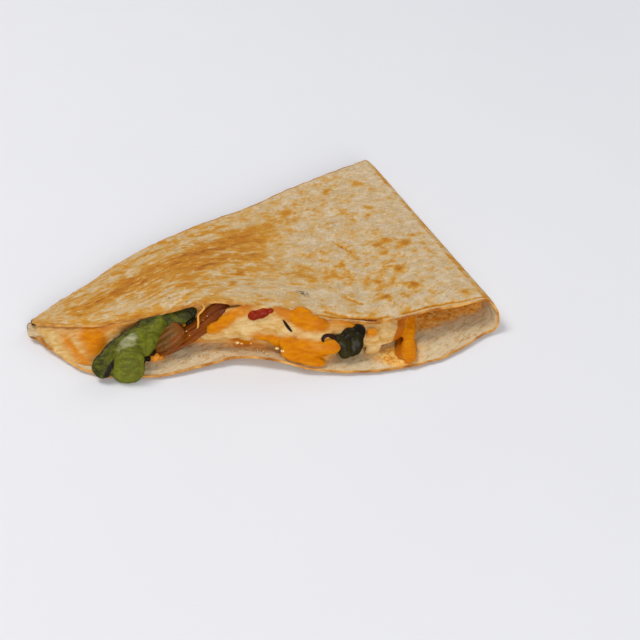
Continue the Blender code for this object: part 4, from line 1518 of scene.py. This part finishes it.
def make_camera():
    data = bpy.data.cameras.new("camera")
    data.sensor_width = 36
    data.lens = data.sensor_width / 2 / tan(FIELD_OF_VIEW / 2)
    camera = bpy.data.objects.new("camera", data)
    back = CAMERA_RIGHT.cross(CAMERA_UP)
    turn = Matrix((CAMERA_RIGHT, CAMERA_UP, back)).transposed()
    camera.matrix_world = Matrix.Translation(Vector(CAMERA_AT + SHIFT)) @ turn.to_4x4()
    bpy.context.scene.collection.objects.link(camera)
    bpy.context.scene.camera = camera


def make_light(name, place, size, power, colour):
    """A square soft light at a place in metres, facing the wedge."""
    data = bpy.data.lights.new(name, "AREA")
    data.shape = "SQUARE"
    data.size = size
    data.energy = power
    data.color = colour
    light = bpy.data.objects.new(name, data)
    light.location = place
    light.rotation_euler = (-Vector(place)).to_track_quat("-Z", "Y").to_euler()
    bpy.context.scene.collection.objects.link(light)


def make_studio():
    make_light("key_light", (-0.55, 0.20, 0.95), 0.5, 6.6, (1.0, 0.97, 0.93))
    make_light("front_light", (0.15, -1.1, 0.42), 0.6, 8.4, (1.0, 0.97, 0.94))
    make_light("back_light", (0.7, 0.7, 0.6), 0.5, 2.0, (0.97, 0.98, 1.0))
    world = bpy.data.worlds.new("room")
    world.use_nodes = True
    world.node_tree.nodes["Background"].inputs["Color"].default_value = (0.9, 0.93, 1.0, 1)
    world.node_tree.nodes["Background"].inputs["Strength"].default_value = 0.34
    bpy.context.scene.world = world
    bpy.context.scene.view_settings.view_transform = "Standard"
    floor_size = 3.0
    corners = [(x * floor_size, y * floor_size, 0) for x, y in ((-1, -1), (1, -1), (1, 1), (-1, 1))]
    mesh = bpy.data.meshes.new("floor")
    mesh.from_pydata(corners, [], [(0, 1, 2, 3)])
    n = Nodes("floor_paint", Roughness=0.6)
    n.finish(n.mix(n.noise(0.05, 2), srgb(232, 233, 237), srgb(235, 236, 240)), 0.6, n.bump(n.noise(0.002), 0.0001, 0.05))
    mesh.materials.append(n.material)
    floor = bpy.data.objects.new("floor", mesh)
    bpy.context.scene.collection.objects.link(floor)
    floor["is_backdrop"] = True


def make_fillings():
    make_green_pepper(green_pepper_material())
    petal = onion_material("onion_petal_skin", srgb(106, 75, 25), srgb(130, 66, 4), srgb(54, 24, 0))
    strip = onion_material("onion_strip_skin", srgb(142, 78, 7), srgb(122, 57, 2), srgb(92, 32, 0))
    make_onion("onion_petal_flesh", ONION_PETAL, petal_shape, petal_marks, petal, 101)
    make_onion("onion_strip_flesh", ONION_STRIP, strip_shape, strip_marks, strip, 105)
    dark = glossy_material("dark_pepper_skin", srgb(48, 42, 5), srgb(20, 13, 2), 0.3)
    crinkles = ((0.3, 2.6 * MM, 111), (0.1, 1.1 * MM, 112))
    make_lobed("dark_pepper_piece", DARK_PEPPER_LOBES, dark, "dark_pepper", 0.22 * MM, crinkles, ["dark_pepper"])
    red = glossy_material("red_pepper_skin", srgb(156, 40, 0), srgb(116, 20, 0), 0.25)
    dents = ((0.12, 1.6 * MM, 121), (0.05, 0.7 * MM, 122))
    make_lobed("red_pepper_dice", RED_PEPPER_LOBES, red, "red_pepper", 0.2 * MM, dents, ["red_pepper"])


def make_bits():
    char = glossy_material("charred_bits", srgb(58, 32, 8), srgb(20, 11, 3), 0.35, 0.0, 0.05)
    rough_amounts = ((0.3, 1.0 * MM, 131), (0.12, 0.5 * MM, 132))
    make_lobed("charred_bits", CHAR_LOBES, char, "green_pepper", 0.18 * MM, rough_amounts, [])
    bits = glossy_material("cheese_bits", srgb(232, 150, 40), srgb(190, 100, 14), 0.1, 0.2, 0.6)
    make_lobed("cheese_bits", CHEESE_BIT_LOBES, bits, "cheese", 0.2 * MM, ((0.2, 1.1 * MM, 141),), [])
    skin = glossy_material("burnt_skin", srgb(60, 28, 6), srgb(24, 12, 4), 0.3, 0.0, 0.1)
    make_small("burnt_skin", [tube(SLIVER, 20, 12), tube(CURL, 40, 14)], skin, "dark_pepper", 0.6)
    thread = glossy_material("cheese_string", srgb(238, 176, 84), srgb(222, 146, 44), 0.3, 0.2, 0.2)
    make_small("cheese_string", [tube(STRING, 60, 12)], thread, "cheese", 0.4)
    oil = glossy_material("oil_beads", srgb(240, 200, 130), srgb(226, 160, 70), 0.03, 0.3, 1.0)
    make_small("oil_beads", bead_parts(), oil, "cheese", 0.3)
    grains = glossy_material("tortilla_crumbs", srgb(226, 190, 132), srgb(190, 132, 62), 0.45, 0.1, 0.0)
    make_small("tortilla_crumbs", crumb_parts(8, 90), grains, "tortilla", 0.4, sharp=180)


make_camera()
make_studio()
make_tortilla(tortilla_material())
make_cheese(cheese_material())
make_fillings()
make_bits()

look_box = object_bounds()
boxes = {"cad": CAD_BOX, "look": look_box}
{key: [list(corner) for corner in box] for key, box in boxes.items()}
